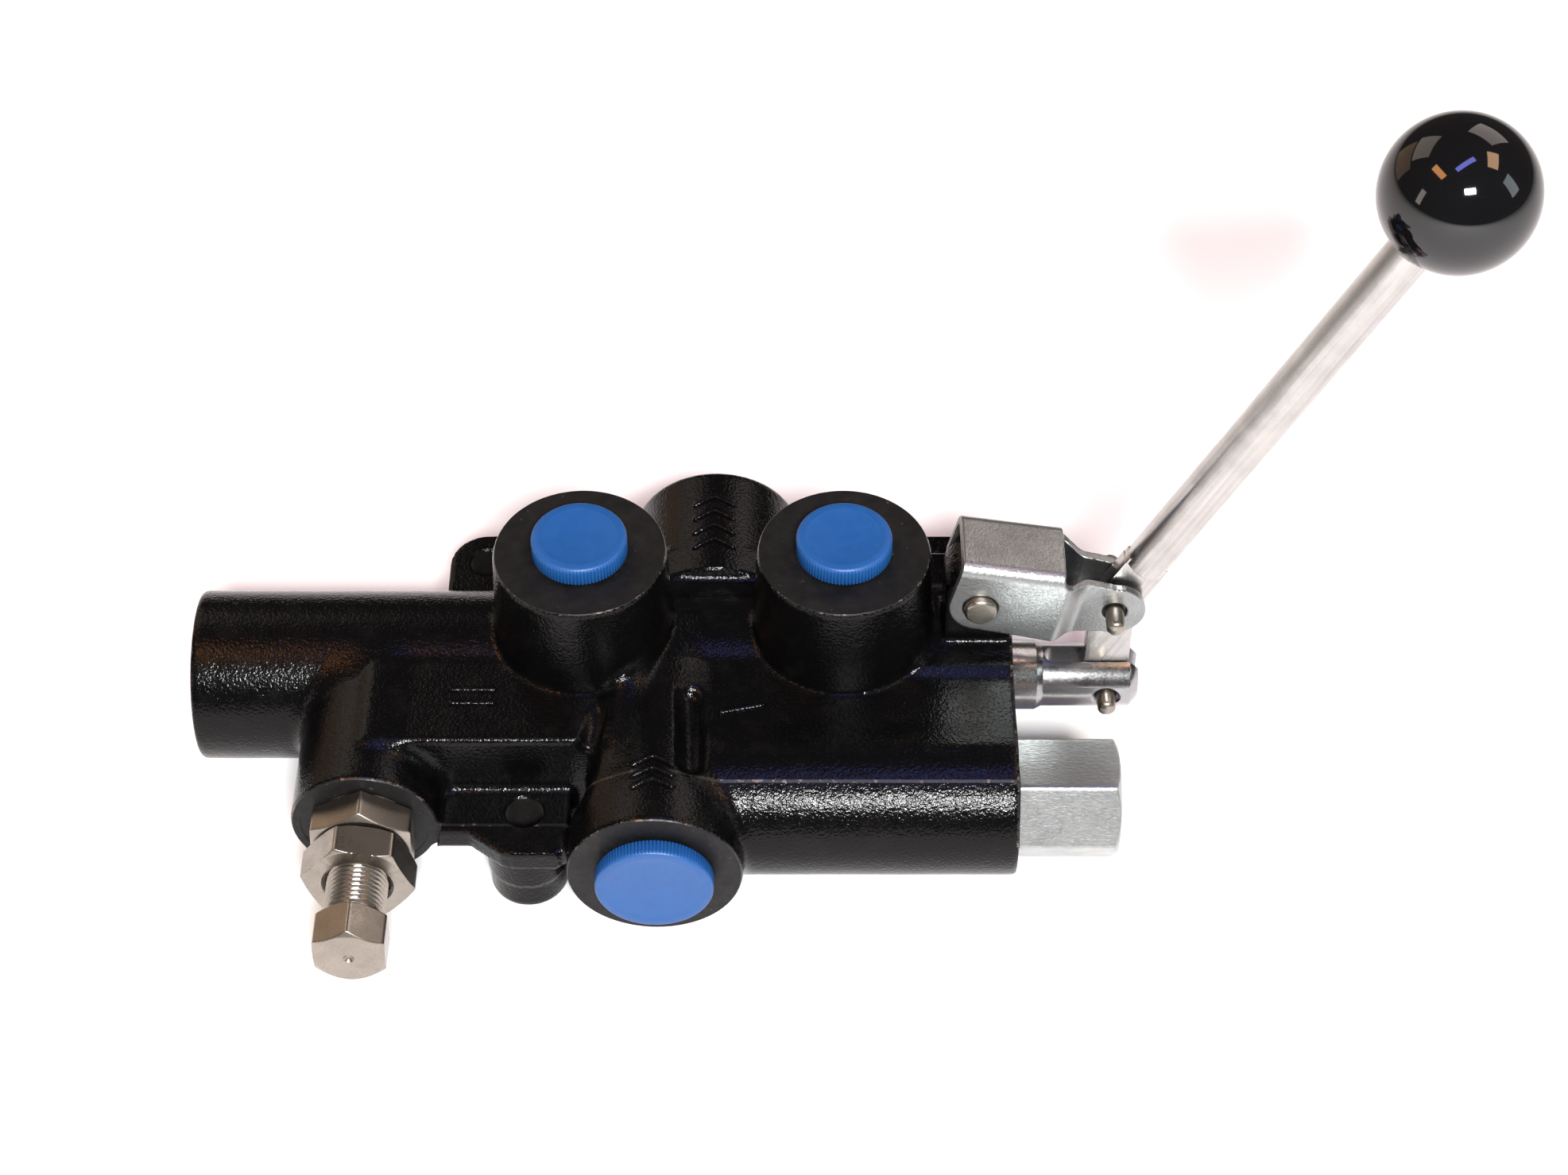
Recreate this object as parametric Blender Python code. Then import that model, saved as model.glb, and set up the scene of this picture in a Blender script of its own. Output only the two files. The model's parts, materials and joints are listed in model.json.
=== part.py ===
"""Hydraulic monoblock directional valve: one spool, a hand lever with a ball knob, a relief cartridge,
a check valve and four capped ports.

Lengths are in millimetres here and become metres as each mesh is made. The design frame has its X axis
along the spool, pointing to the lever, Y towards the outlet port and Z up, with the spool axis at
y = z = 0. The whole valve is then moved so that its origin is the middle of its bounding box's bottom.
"""

from math import atan2, cos, pi, radians, sin, tan

import bmesh
import bpy
from mathutils import Matrix, Vector

MM = 0.001
GAP = 0.3

# Casting
HOUSING_LEFT = -164.0
HOUSING_RIGHT = 63.1
HOUSING_R = 23.8
MOUNT_Z = -28.4
PLATE_TOP = 20.3
PLATE_LEFT = -114.0
PLATE_FRONT = -41.6
PLATE_BACK = 29.0
ALLOWANCE = 1.0

# Work ports A and B stand up, the inlet points to the front and the outlet to the back.
PORT_A_X = 16.3
PORT_B_X = -55.5
WORK_FACE_Z = 50.7
WORK_BOSS_TOP_R = 23.7
WORK_BOSS_FOOT_R = 25.1
WORK_BORE_R = 10.5
WORK_BORE_DEPTH = 18.7
WORK_PASSAGE_R = 7.5
INLET_X = -34.7
INLET_FACE_Y = -71.4
INLET_R = 23.8
OUTLET_X = -19.6
OUTLET_FACE_Y = 57.0
OUTLET_FRONT_Y = 18.7
OUTLET_R = 24.0
MAIN_BORE_R = 13.2
MAIN_BORE_DEPTH = 21.0
MAIN_PASSAGE_R = 8.0

# Second bore, which holds the check valve
CHECK_Y = -45.0
CHECK_BOSS_R = 20.9
CHECK_BORE_R = 12.0
CHECK_BORE_END = -8.0
CHECK_PASSAGE_R = 7.0
CHECK_PLUG_END = 91.0
CHECK_PLUG_AF = 30.0

# Relief cartridge: stations are distances from the spool axis towards the front.
RELIEF_X = -114.0
RELIEF_BOSS_R = 20.0
RELIEF_FACE = 54.5
RELIEF_BORE_R = 11.0
RELIEF_BORE_END = 30.0
RELIEF_PASSAGE_R = 4.0
RELIEF_PLUG_END = 64.0
RELIEF_NUT = (65.5, 74.8)
RELIEF_NUT_PHASE = radians(49)
RELIEF_HEX_PHASE = radians(88)
RELIEF_HEX_AF = 27.0
RELIEF_THREAD_R = 8.3
RELIEF_HEAD = (87.5, 99.0)
RELIEF_HEAD_AF = 19.0
RELIEF_SHANK_END = 36.0
RELIEF_POCKET = (52.0, 74.0)
RELIEF_POCKET_R = 6.5
RELIEF_SPRING = (40.3, 62.0)
RELIEF_SEAT = (30.3, 34.4)

# Mounting ears
BOLT_R = 5.15
BOLTS = ((-70.8, -49.8), (-86.7, 43.6), (48.0, 43.6))
EAR_THICKNESS = 7.1
REAR_EAR_Y = 54.8
REAR_EAR_ROUND = 11.2
REAR_EAR_INNER = 34.5

# Spool and its centring spring
SPOOL_BORE_R = 10.2
SPOOL_R = 9.9
SPOOL_GROOVE_R = 7.0
SPOOL_LEFT = -133.0
SPOOL_COLLAR_END = 71.0
SPOOL_TANG_R = 8.9
SPOOL_TIP = 99.8
SPOOL_GROOVES = ((-80.0, -66.0), (-49.0, -41.0), (-12.0, 4.0), (24.0, 38.0))
GALLERIES = ((PORT_B_X, 9.0), (INLET_X, 10.0), (OUTLET_X, 9.0), (PORT_A_X, 9.0))
GALLERY_R = 13.2
REAR_RING = (-122.6, -119.2)
FRONT_RING = (50.0, 53.4)
WIPER = (57.4, 60.6)
SEAL_R = 12.9
CAP_RING = (-163.4, -161.5)
CAP_RING_R = 18.0
FORK_START = 73.3
FORK_WIDTH = 5.6
CHAMBER_R = 17.0
CHAMBER_END = -126.0
INNER_CUP = (-128.3, -126.3)
INNER_CUP_BORE_R = 10.5
OUTER_CUP = (-146.2, -144.2)
OUTER_CUP_R = 13.6
CENTRING_WIRE_R = 1.05
CENTRING_COIL_R = 12.2
CENTRING_TURNS = 3
TAIL_BOLT_R = 3.5
TAIL_BOLT = (-149.2, -146.5, -118.5)
TAIL_HOLE_END = -117.0
CAP_FACE = -161.3
CAP_FLOOR = -159.1
CAP_LIP = -155.2
CAP_GROOVE = (-159.3, -157.1)

# Linkage: P1 holds the link to the body, P2 the lever to the link, P3 the lever to the spool.
P1 = Vector((53.4, 0.0, 39.8))
P2 = Vector((90.7, 0.0, 33.35))
P3 = Vector((90.7, 0.0, 0.0))
LINK_PIN_R = 4.45
LINK_PIN_END = 13.15
SMALL_PIN_R = 2.6
SMALL_PIN_END = 13.8
LINK_LENGTH = (P2 - P1).length
LINK_SLOPE = atan2(P1.z - P2.z, P2.x - P1.x)
LINK_HALF_WIDTH = 10.95
LINK_SHEET = 2.5
LINK_BEND_R = 4.0
LINK_WEB_TOP = 14.7
LINK_WEB = (-7.5, 20.7)
LINK_JOG = (22.0, 28.0)
LINK_JOG_IN = 4.5
LINK_HEEL_R = 8.6
LINK_EYE_R = 8.5
LUG_R = 9.3
LUG_HALF_WIDTH = 8.0
BASE_LEFT = 39.0
BASE_HALF_WIDTH = 12.7
BASE_TOP = 24.2

# Lever and knob
LEVER_FLAT = 5.0
LEVER_HALF_WIDTH = 6.2
LEVER_TOE = -8.5
LEVER_SHOULDER = 17.0
LEVER_BEND_R = 12.0
ROD_R = 6.0
ROD_THREAD_R = 4.8
KNOB_CENTRE = Vector((163.2, 0.0, 176.4))
ROD_TILT = radians(26.47)
ROD_WAY = Vector((sin(ROD_TILT), 0, cos(ROD_TILT)))
BEND = Vector((P2.x, 0, KNOB_CENTRE.z - (KNOB_CENTRE.x - P2.x) / tan(ROD_TILT)))
ROD_LENGTH = (KNOB_CENTRE - BEND).length
KNOB_R = 20.0
KNOB_FLAT = 18.9
KNOB_BORE_END = 4.0
PIN_SLOT_R = 4.35
PIN_SLOT_RISE = 1.5

# Blue port plugs: head radius, height over the face, skirt radius
WORK_PLUG = (13.1, 6.1, WORK_BORE_R - GAP)
MAIN_PLUG = (16.0, 5.2, MAIN_BORE_R - GAP)
PLUG_SKIRT = 9.0
PLUG_WALL = 1.5

BIG = 36
MEDIUM = 24
SMALL = 16

FRONT_TIP = -RELIEF_HEAD[1]
BACK_TIP = OUTLET_FACE_Y + MAIN_PLUG[1]
ORIGIN = Vector(((HOUSING_LEFT + KNOB_CENTRE.x + KNOB_R) / 2, (FRONT_TIP + BACK_TIP) / 2, MOUNT_Z))

# Each column is the world direction of one local axis, and local Z is the direction named.
FACINGS = {
    "Z": Matrix.Identity(3),
    "X": Matrix(((0, 0, 1), (1, 0, 0), (0, 1, 0))),
    "Y": Matrix(((-1, 0, 0), (0, 0, 1), (0, 1, 0))),
    "-Y": Matrix(((1, 0, 0), (0, 0, -1), (0, 1, 0))),
}


# ---------------------------------------------------------------- meshes


def finished(mesh, name="shape"):
    """Turns the faces outward, scales to metres and returns the bmesh as a mesh."""
    bmesh.ops.recalc_face_normals(mesh, faces=mesh.faces[:])
    bmesh.ops.scale(mesh, vec=(MM, MM, MM), verts=mesh.verts[:])
    data = bpy.data.meshes.new(name)
    mesh.to_mesh(data)
    mesh.free()
    data.shade_smooth()
    data.set_sharp_from_angle(angle=radians(30))
    return data


def ring_of(mesh, points):
    return [mesh.verts.new(point) for point in points]


def skin(mesh, first, second):
    """Joins two rings of points, of which either may be a single point."""
    count = max(len(first), len(second))
    for k in range(count):
        n = (k + 1) % count
        corners = [first[k % len(first)], first[n % len(first)]]
        corners += [second[n % len(second)], second[k % len(second)]]
        mesh.faces.new(list(dict.fromkeys(corners)))


def lofted(rings, closed=False):
    """A closed body through rings of points, its end rings capped unless the last joins the first."""
    mesh = bmesh.new()
    made = [ring_of(mesh, ring) for ring in rings]
    for first, second in zip(made, made[1:]):
        skin(mesh, first, second)
    if closed:
        skin(mesh, made[-1], made[0])
    else:
        for end in (made[0], made[-1]):
            if len(end) > 2:
                mesh.faces.new(end)
    return finished(mesh)


def circle(radius, height, segments, phase=0.0):
    if radius == 0:
        return [(0.0, 0.0, height)]
    turns = [phase + 2 * pi * k / segments for k in range(segments)]
    return [(radius * cos(turn), radius * sin(turn), height) for turn in turns]


def turned(profile, segments=MEDIUM, closed=False, phase=0.0):
    """A (radius, height) profile turned about Z."""
    return lofted([circle(r, z, segments, phase) for r, z in profile], closed)


def cylinder(radius, bottom, top, segments=MEDIUM):
    return turned([(radius, bottom), (radius, top)], segments)


def tube(outer, inner, bottom, top, segments=MEDIUM):
    return turned([(outer, bottom), (outer, top), (inner, top), (inner, bottom)], segments, True)


def prism(outline, bottom, top):
    return lofted([[(x, y, z) for x, y in outline] for z in (bottom, top)])


def box(low, high):
    outline = [(low[0], low[1]), (high[0], low[1]), (high[0], high[1]), (low[0], high[1])]
    return prism(outline, low[2], high[2])


def arc(centre, radius, start, end, steps):
    """Points of an arc, with its angles in degrees."""
    turns = [radians(start + (end - start) * k / steps) for k in range(steps + 1)]
    return [(centre[0] + radius * cos(turn), centre[1] + radius * sin(turn)) for turn in turns]


def hexagon(across_flats, bottom, top, phase=0.0):
    return turned([(across_flats / 2 / cos(pi / 6), z) for z in (bottom, top)], 6, False, phase)


def chamfered_ends(across_flats, bottom, top, at_bottom=True, at_top=True):
    """The turned blank that takes the corners off a hexagon at one or both ends."""
    corner = across_flats / 2 / cos(pi / 6) + 0.5
    land = across_flats / 2 * 0.97
    drop = (corner - land) * 0.6
    profile = [(land, bottom), (corner, bottom + drop)] if at_bottom else [(corner, bottom)]
    profile += [(corner, top - drop), (land, top)] if at_top else [(corner, top)]
    return turned(profile, 36)


def coil(mean_radius, wire_radius, bottom, top, turns, steps=11, sides=5):
    """A round wire wound about Z, its ends flush with bottom and top."""
    rings = []
    count = int(turns * steps)
    rise = (top - bottom - 2 * wire_radius) / count
    for k in range(count + 1):
        turn = 2 * pi * k / steps
        out = Vector((cos(turn), sin(turn), 0))
        centre = out * mean_radius + Vector((0, 0, bottom + wire_radius + rise * k))
        section = [2 * pi * n / sides for n in range(sides)]
        rings.append([centre + wire_radius * (out * cos(a) + Vector((0, 0, sin(a)))) for a in section])
    return lofted(rings)


# ---------------------------------------------------------------- objects


def material(name, colour, roughness, metallic):
    made = bpy.data.materials.new(name)
    made.use_nodes = True
    shader = made.node_tree.nodes["Principled BSDF"]
    shader.inputs["Base Color"].default_value = (*colour, 1.0)
    shader.inputs["Roughness"].default_value = roughness
    shader.inputs["Metallic"].default_value = metallic
    return made


LOOKS = {
    "paint": ((0.012, 0.012, 0.013), 0.28, 0.0),
    "zinc": ((0.62, 0.62, 0.60), 0.34, 1.0),
    "steel": ((0.55, 0.55, 0.56), 0.25, 1.0),
    "spring": ((0.32, 0.32, 0.33), 0.35, 1.0),
    "rubber": ((0.02, 0.02, 0.02), 0.6, 0.0),
    "knob": ((0.008, 0.008, 0.008), 0.06, 0.0),
    "blue": ((0.01, 0.13, 0.55), 0.42, 0.0),
}


def origin_of(owner):
    return Vector(owner["at"])


def empty(name, at, owner=None):
    """A joint's axis or the datum. at is in the design frame."""
    made = bpy.data.objects.new(name, None)
    bpy.context.scene.collection.objects.link(made)
    made["at"] = tuple(at)
    made.parent = owner
    base = origin_of(owner) if owner else ORIGIN
    made.location = (Vector(at) - base) * MM
    made.empty_display_size = 0.01
    return made


def place(name, mesh, owner, at=(0, 0, 0), facing="Z"):
    """Links an object whose local origin is at the design point at, with local Z along facing."""
    made = bpy.data.objects.new(name, mesh)
    bpy.context.scene.collection.objects.link(made)
    made.parent = owner
    made.location = (Vector(at) - origin_of(owner)) * MM
    made.rotation_euler = FACINGS[facing].to_euler()
    return made


def piece(name, look, mesh, owner, at=(0, 0, 0), facing="Z"):
    """A node of the model, with a material of its own."""
    made = place(name, mesh, owner, at, facing)
    made.data.name = name
    made.data.materials.append(material(name, *LOOKS[look]))
    return made


def helper(mesh, owner, at=(0, 0, 0), facing="Z"):
    """A hidden shape that a Boolean adds or takes away."""
    made = place("helper", mesh, owner, at, facing)
    made.hide_render = True
    made.display_type = "WIRE"
    return made


def boolean(target, operation, others):
    """One exact Boolean with a whole group of helpers."""
    group = bpy.data.collections.new(f"{target.name} {operation.lower()}")
    bpy.context.scene.collection.children.link(group)
    for other in others:
        group.objects.link(other)
        bpy.context.scene.collection.objects.unlink(other)
    modifier = target.modifiers.new(operation.title(), "BOOLEAN")
    modifier.operation = operation
    modifier.solver = "EXACT"
    modifier.operand_type = "COLLECTION"
    modifier.collection = group


def baked(target):
    """The mesh of an object with its modifiers applied, in the object's own frame."""
    bpy.context.view_layer.update()
    graph = bpy.context.evaluated_depsgraph_get()
    return bpy.data.meshes.new_from_object(target.evaluated_get(graph))


# ---------------------------------------------------------------- casting


def superellipse(half_width, half_height, power, along, segments):
    """A ring in the XZ plane at y = along."""
    ring = []
    for k in range(segments):
        turn = 2 * pi * k / segments
        across, up = cos(turn), sin(turn)
        x = half_width * abs(across) ** (2 / power) * (1 if across > 0 else -1)
        z = half_height * abs(up) ** (2 / power) * (1 if up > 0 else -1)
        ring.append((x, along, z))
    return ring


def work_boss():
    """A standing boss with draft and a fillet at its foot."""
    foot = 17.5
    flare = [(29.0, foot), (27.0, PLATE_TOP + 0.7), (25.7, PLATE_TOP + 2.5)]
    rise = [(WORK_BOSS_FOOT_R, PLATE_TOP + 4.5), (WORK_BOSS_TOP_R + 0.4, WORK_FACE_Z - 1.0)]
    return turned(flare + rise + [(WORK_BOSS_TOP_R, WORK_FACE_Z)], BIG)


def inlet_boss():
    """A narrow rounded neck that flares to a round face."""
    stations = (
        (0.0, 17.0, 23.2, 2.5),
        (-45.0, 17.0, 23.2, 2.5),
        (-50.0, 18.6, 23.4, 2.3),
        (-55.0, 22.2, 23.6, 2.1),
        (-58.5, INLET_R, INLET_R, 2.0),
        (INLET_FACE_Y, INLET_R, INLET_R, 2.0),
    )
    return lofted([superellipse(w, h, power, y, BIG) for y, w, h, power in stations])


def outlet_boss():
    round_end = [(19.5, OUTLET_FRONT_Y - 1), (22.0, OUTLET_FRONT_Y), (23.4, OUTLET_FRONT_Y + 1.2)]
    return turned(round_end + [(OUTLET_R, OUTLET_FRONT_Y + 3), (OUTLET_R, OUTLET_FACE_Y)], BIG)


def foot_boss():
    """The column under a bolt hole, with the step that the mould's joint leaves."""
    neck = [(11.3, -5.0), (11.3, -19.5), (10.8, -20.5)]
    return turned(neck + [(10.8, MOUNT_Z - ALLOWANCE)], MEDIUM)


def main_block():
    """The flat-topped middle of the casting, between the round bosses."""
    right = HOUSING_RIGHT + ALLOWANCE
    front = [(PLATE_LEFT, PLATE_FRONT), (-20.0, PLATE_FRONT), (-16.0, CHECK_Y), (right, CHECK_Y)]
    back = [(right, PLATE_BACK), (PORT_B_X - WORK_BOSS_FOOT_R, PLATE_BACK)]
    left = [(PORT_B_X - WORK_BOSS_FOOT_R, 5.0), (PLATE_LEFT, 5.0)]
    return prism(front + back + left, -PLATE_TOP, PLATE_TOP)


def front_ear():
    outline = [(-97.0, -38.0), (-97.0, -56.6), (-85.5, -56.6), (-76.5, -63.6), (-73.0, -64.4)]
    outline += [(-61.5, -64.4), (-58.4, -61.5), (-58.4, -38.0)]
    return prism(outline, -EAR_THICKNESS, 0.0)


def rear_ear(hole_x, side):
    """An ear whose outer corner is round. side is -1 for the left one and 1 for the right one."""
    corner = (hole_x, REAR_EAR_Y - REAR_EAR_ROUND)
    start = 0 if side > 0 else 180
    round_corner = arc(corner, REAR_EAR_ROUND, start, 90, 6)
    inner = hole_x + side * (REAR_EAR_ROUND - REAR_EAR_INNER)
    outline = [(hole_x + side * REAR_EAR_ROUND, 5.0)] + round_corner + [(inner, REAR_EAR_Y), (inner, 5.0)]
    return prism(outline, -EAR_THICKNESS, 0.0)


def lug():
    """The upright that carries the link pin, drawn in (X, Z) and standing along -Y."""
    top = arc((P1.x, P1.z), LUG_R, 0, 180, 10)
    return prism([(P1.x + LUG_R, 15.0)] + top + [(P1.x - LUG_R, 15.0)], -LUG_HALF_WIDTH, LUG_HALF_WIDTH)


def casting_solids(datum):
    right = HOUSING_RIGHT + ALLOWANCE
    base_low = (BASE_LEFT, -BASE_HALF_WIDTH, 0.0)
    base_high = (right, BASE_HALF_WIDTH, BASE_TOP)
    solids = [
        helper(main_block(), datum),
        helper(cylinder(CHECK_BOSS_R, -25.0, right, BIG), datum, (0, CHECK_Y, 0), "X"),
        helper(cylinder(RELIEF_BOSS_R, 0.0, RELIEF_FACE, BIG), datum, (RELIEF_X, 0, 0), "-Y"),
        helper(inlet_boss(), datum, (INLET_X, 0, 0)),
        helper(outlet_boss(), datum, (OUTLET_X, 0, 0), "Y"),
        helper(work_boss(), datum, (PORT_A_X, 0, 0)),
        helper(work_boss(), datum, (PORT_B_X, 0, 0)),
        helper(front_ear(), datum),
        helper(rear_ear(BOLTS[1][0], -1), datum),
        helper(rear_ear(BOLTS[2][0], 1), datum),
        helper(box(base_low, base_high), datum),
        helper(lug(), datum, (0, 0, 0), "-Y"),
    ]
    solids += [helper(foot_boss(), datum, (x, y, 0)) for x, y in BOLTS]
    return solids


def blind_bore(radius, depth, passage_radius, reach, chamfer=0.8):
    """A port as a cutter along Z from its face at 0: a chamfered bore, a drill cone and a passage."""
    mouth = [(radius + chamfer + ALLOWANCE, ALLOWANCE), (radius + chamfer, 0.0), (radius, -chamfer)]
    cone = [(radius, -depth), (passage_radius, -depth - (radius - passage_radius) * 0.6)]
    return turned(mouth + cone + [(passage_radius, -reach)], MEDIUM)


def casting_cuts(datum):
    work = blind_bore(WORK_BORE_R, WORK_BORE_DEPTH, WORK_PASSAGE_R, WORK_FACE_Z)
    inlet = blind_bore(MAIN_BORE_R, MAIN_BORE_DEPTH, MAIN_PASSAGE_R, -INLET_FACE_Y)
    outlet = blind_bore(MAIN_BORE_R, MAIN_BORE_DEPTH, MAIN_PASSAGE_R, OUTLET_FACE_Y)
    relief = [(RELIEF_BORE_R + 2.2, RELIEF_FACE + ALLOWANCE), (RELIEF_BORE_R + 2.2, RELIEF_FACE - 2.2)]
    relief += [(RELIEF_BORE_R, RELIEF_FACE - 2.2), (RELIEF_BORE_R, RELIEF_BORE_END)]
    relief += [(RELIEF_PASSAGE_R, RELIEF_BORE_END), (RELIEF_PASSAGE_R, 0.0)]
    check = [(CHECK_BORE_R + 2.0, HOUSING_RIGHT + 2 * ALLOWANCE), (CHECK_BORE_R + 2.0, HOUSING_RIGHT - 2.1)]
    check += [(CHECK_BORE_R, HOUSING_RIGHT - 2.1), (CHECK_BORE_R, CHECK_BORE_END)]
    check += [(CHECK_PASSAGE_R, CHECK_BORE_END), (CHECK_PASSAGE_R, INLET_X)]
    far = 300.0
    cuts = [
        helper(box((HOUSING_RIGHT, -far, -far), (far, far, far)), datum),
        helper(box((-far, -far, -far), (far, far, MOUNT_Z)), datum),
        helper(turned(spool_bore_profile(), MEDIUM), datum, (0, 0, 0), "X"),
        helper(work, datum, (PORT_A_X, 0, WORK_FACE_Z)),
        helper(work, datum, (PORT_B_X, 0, WORK_FACE_Z)),
        helper(inlet, datum, (INLET_X, INLET_FACE_Y, 0), "-Y"),
        helper(outlet, datum, (OUTLET_X, OUTLET_FACE_Y, 0), "Y"),
        helper(turned(relief, MEDIUM), datum, (RELIEF_X, 0, 0), "-Y"),
        helper(turned(check, MEDIUM), datum, (0, CHECK_Y, 0), "X"),
        helper(cylinder(LINK_PIN_R + GAP, -20.0, 20.0, SMALL), datum, P1, "Y"),
    ]
    hole = cylinder(BOLT_R, MOUNT_Z - 5.0, 5.0, SMALL)
    cuts += [helper(hole, datum, (x, y, 0)) for x, y in BOLTS]
    return cuts


def groove(start, end, inner, outer):
    return [(inner, start), (outer, start), (outer, end), (inner, end)]


def spool_bore_profile():
    """The spring chamber, the spool bore with its galleries and seal grooves, and the chamfered mouth."""
    profile = [(CHAMBER_R, HOUSING_LEFT - ALLOWANCE)]
    profile += groove(CAP_RING[0], CAP_RING[1], CHAMBER_R, CAP_RING_R)
    profile += [(CHAMBER_R, CHAMBER_END), (SPOOL_BORE_R, CHAMBER_END)]
    profile += groove(*REAR_RING, SPOOL_BORE_R, SEAL_R)
    for centre, width in GALLERIES:
        profile += groove(centre - width / 2, centre + width / 2, SPOOL_BORE_R, GALLERY_R)
    profile += groove(*FRONT_RING, SPOOL_BORE_R, SEAL_R)
    profile += groove(*WIPER, SPOOL_BORE_R, SEAL_R)
    mouth = [(SPOOL_BORE_R, HOUSING_RIGHT - 0.8), (SPOOL_BORE_R + 2.3, HOUSING_RIGHT + 1.5)]
    return profile + mouth


def make_body(datum):
    chamfer = 0.8
    ends = [(HOUSING_R - chamfer, HOUSING_LEFT), (HOUSING_R, HOUSING_LEFT + chamfer)]
    housing = turned(ends + [(HOUSING_R, HOUSING_RIGHT + ALLOWANCE)], BIG)
    body = piece("valve_body", "paint", housing, datum, (0, 0, 0), "X")
    boolean(body, "UNION", casting_solids(datum))
    boolean(body, "DIFFERENCE", casting_cuts(datum))


# ---------------------------------------------------------------- spool and its ends


def oring(inner, outer, start, end):
    """A seal with a six-sided section."""
    radius = (outer - inner) / 2
    middle = (inner + outer) / 2
    half = (end - start) / 2 / cos(pi / 6)
    section = [pi / 3 * k for k in range(6)]
    profile = [(middle + radius * cos(a), (start + end) / 2 + half * sin(a)) for a in section]
    return turned(profile, MEDIUM, True)


def make_end_cap(datum):
    rim = CHAMBER_R - GAP
    root = rim - 1.5
    lip = OUTER_CUP_R + GAP
    profile = [(0, CAP_FACE), (rim, CAP_FACE), (rim, CAP_GROOVE[0]), (root, CAP_GROOVE[0])]
    profile += [(root, CAP_GROOVE[1]), (rim, CAP_GROOVE[1]), (rim, CAP_LIP), (lip, CAP_LIP)]
    profile += [(lip, CAP_FLOOR), (0, CAP_FLOOR)]
    piece("end_cap", "steel", turned(profile), datum, (0, 0, 0), "X")
    seal = oring(root + GAP, rim, CAP_GROOVE[0] + GAP, CAP_GROOVE[1] - GAP)
    piece("end_cap_oring", "rubber", seal, datum, (0, 0, 0), "X")
    ring = tube(CAP_RING_R - GAP, lip, CAP_RING[0] + GAP, CAP_RING[1] - GAP)
    piece("end_cap_ring", "spring", ring, datum, (0, 0, 0), "X")


def make_seals(datum):
    for name, (start, end) in (("rear", REAR_RING), ("front", FRONT_RING)):
        seal = oring(SPOOL_BORE_R, SEAL_R - GAP, start + GAP, end - GAP)
        piece(f"spool_{name}_oring", "rubber", seal, datum, (0, 0, 0), "X")
    wiper = [(SPOOL_BORE_R, WIPER[1] - GAP), (SPOOL_BORE_R + 0.8, WIPER[0] + GAP)]
    wiper += [(SEAL_R - GAP, WIPER[0] + GAP), (SEAL_R - GAP, WIPER[1] - GAP)]
    piece("spool_wiper", "rubber", turned(wiper, MEDIUM, True), datum, (0, 0, 0), "X")


def spool_profile():
    profile = [(0, TAIL_HOLE_END), (TAIL_BOLT_R + GAP, TAIL_HOLE_END), (TAIL_BOLT_R + GAP, SPOOL_LEFT)]
    profile += [(SPOOL_R - 0.5, SPOOL_LEFT), (SPOOL_R, SPOOL_LEFT + 0.7)]
    for start, end in SPOOL_GROOVES:
        profile += [(SPOOL_R, start), (SPOOL_GROOVE_R, start + 1), (SPOOL_GROOVE_R, end - 1), (SPOOL_R, end)]
    profile += [(SPOOL_R, SPOOL_COLLAR_END), (SPOOL_TANG_R, SPOOL_COLLAR_END + 1.8)]
    return profile + [(SPOOL_TANG_R, SPOOL_TIP - 2.4), (SPOOL_TANG_R - 2.5, SPOOL_TIP), (0, SPOOL_TIP)]


def fork_slot():
    """The slot in the spool's end for the lever, open at the tip and round at its inner end."""
    half = FORK_WIDTH / 2
    outline = [(SPOOL_TIP + 5, -half), (SPOOL_TIP + 5, half)]
    outline += arc((FORK_START + half, 0), half, 90, 270, 6)
    return prism(outline, -SPOOL_R * 1.5, SPOOL_R * 1.5)


def countersunk_hole(radius, surface, sink, segments=SMALL):
    """A cutter along Z through a bar, with a countersink where it leaves the bar on each side."""
    outside = [(radius + 2 * sink, -surface - sink), (radius, sink - surface)]
    return turned(outside + [(r, -z) for r, z in reversed(outside)], segments)


def make_spool(datum):
    slide = empty("spool_slide", (0, 0, 0), datum)
    spool = piece("spool", "steel", turned(spool_profile()), slide, (0, 0, 0), "X")
    hole = countersunk_hole(SMALL_PIN_R + GAP, SPOOL_TANG_R, 1.2)
    boolean(spool, "DIFFERENCE", [helper(fork_slot(), slide), helper(hole, slide, P3, "Y")])
    head, neck, end = TAIL_BOLT
    bolt = [(0, head), (6.5, head), (6.5, neck), (TAIL_BOLT_R, neck), (TAIL_BOLT_R, end), (0, end)]
    piece("tail_bolt", "steel", turned(bolt, SMALL), slide, (0, 0, 0), "X")
    sleeve = tube(6.2, TAIL_BOLT_R + GAP, OUTER_CUP[1] + GAP, SPOOL_LEFT - GAP, SMALL)
    piece("spacer_sleeve", "steel", sleeve, slide, (0, 0, 0), "X")
    outer = tube(OUTER_CUP_R, TAIL_BOLT_R + GAP, *OUTER_CUP)
    piece("outer_spring_cup", "steel", outer, slide, (0, 0, 0), "X")
    inner = tube(CHAMBER_R - GAP, INNER_CUP_BORE_R, *INNER_CUP)
    piece("inner_spring_cup", "steel", inner, datum, (0, 0, 0), "X")
    low, high = OUTER_CUP[1] + GAP, INNER_CUP[0] - GAP
    spring = coil(CENTRING_COIL_R, CENTRING_WIRE_R, low, high, CENTRING_TURNS, 14)
    piece("centring_spring", "spring", spring, datum, (0, 0, 0), "X")
    pin = pin_mesh(SMALL_PIN_R, SMALL_PIN_END, [(SMALL_PIN_R - 0.5, 0.0), (SMALL_PIN_R, 0.5)])
    piece("spool_pin", "zinc", pin, slide, P3, "Y")


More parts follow.
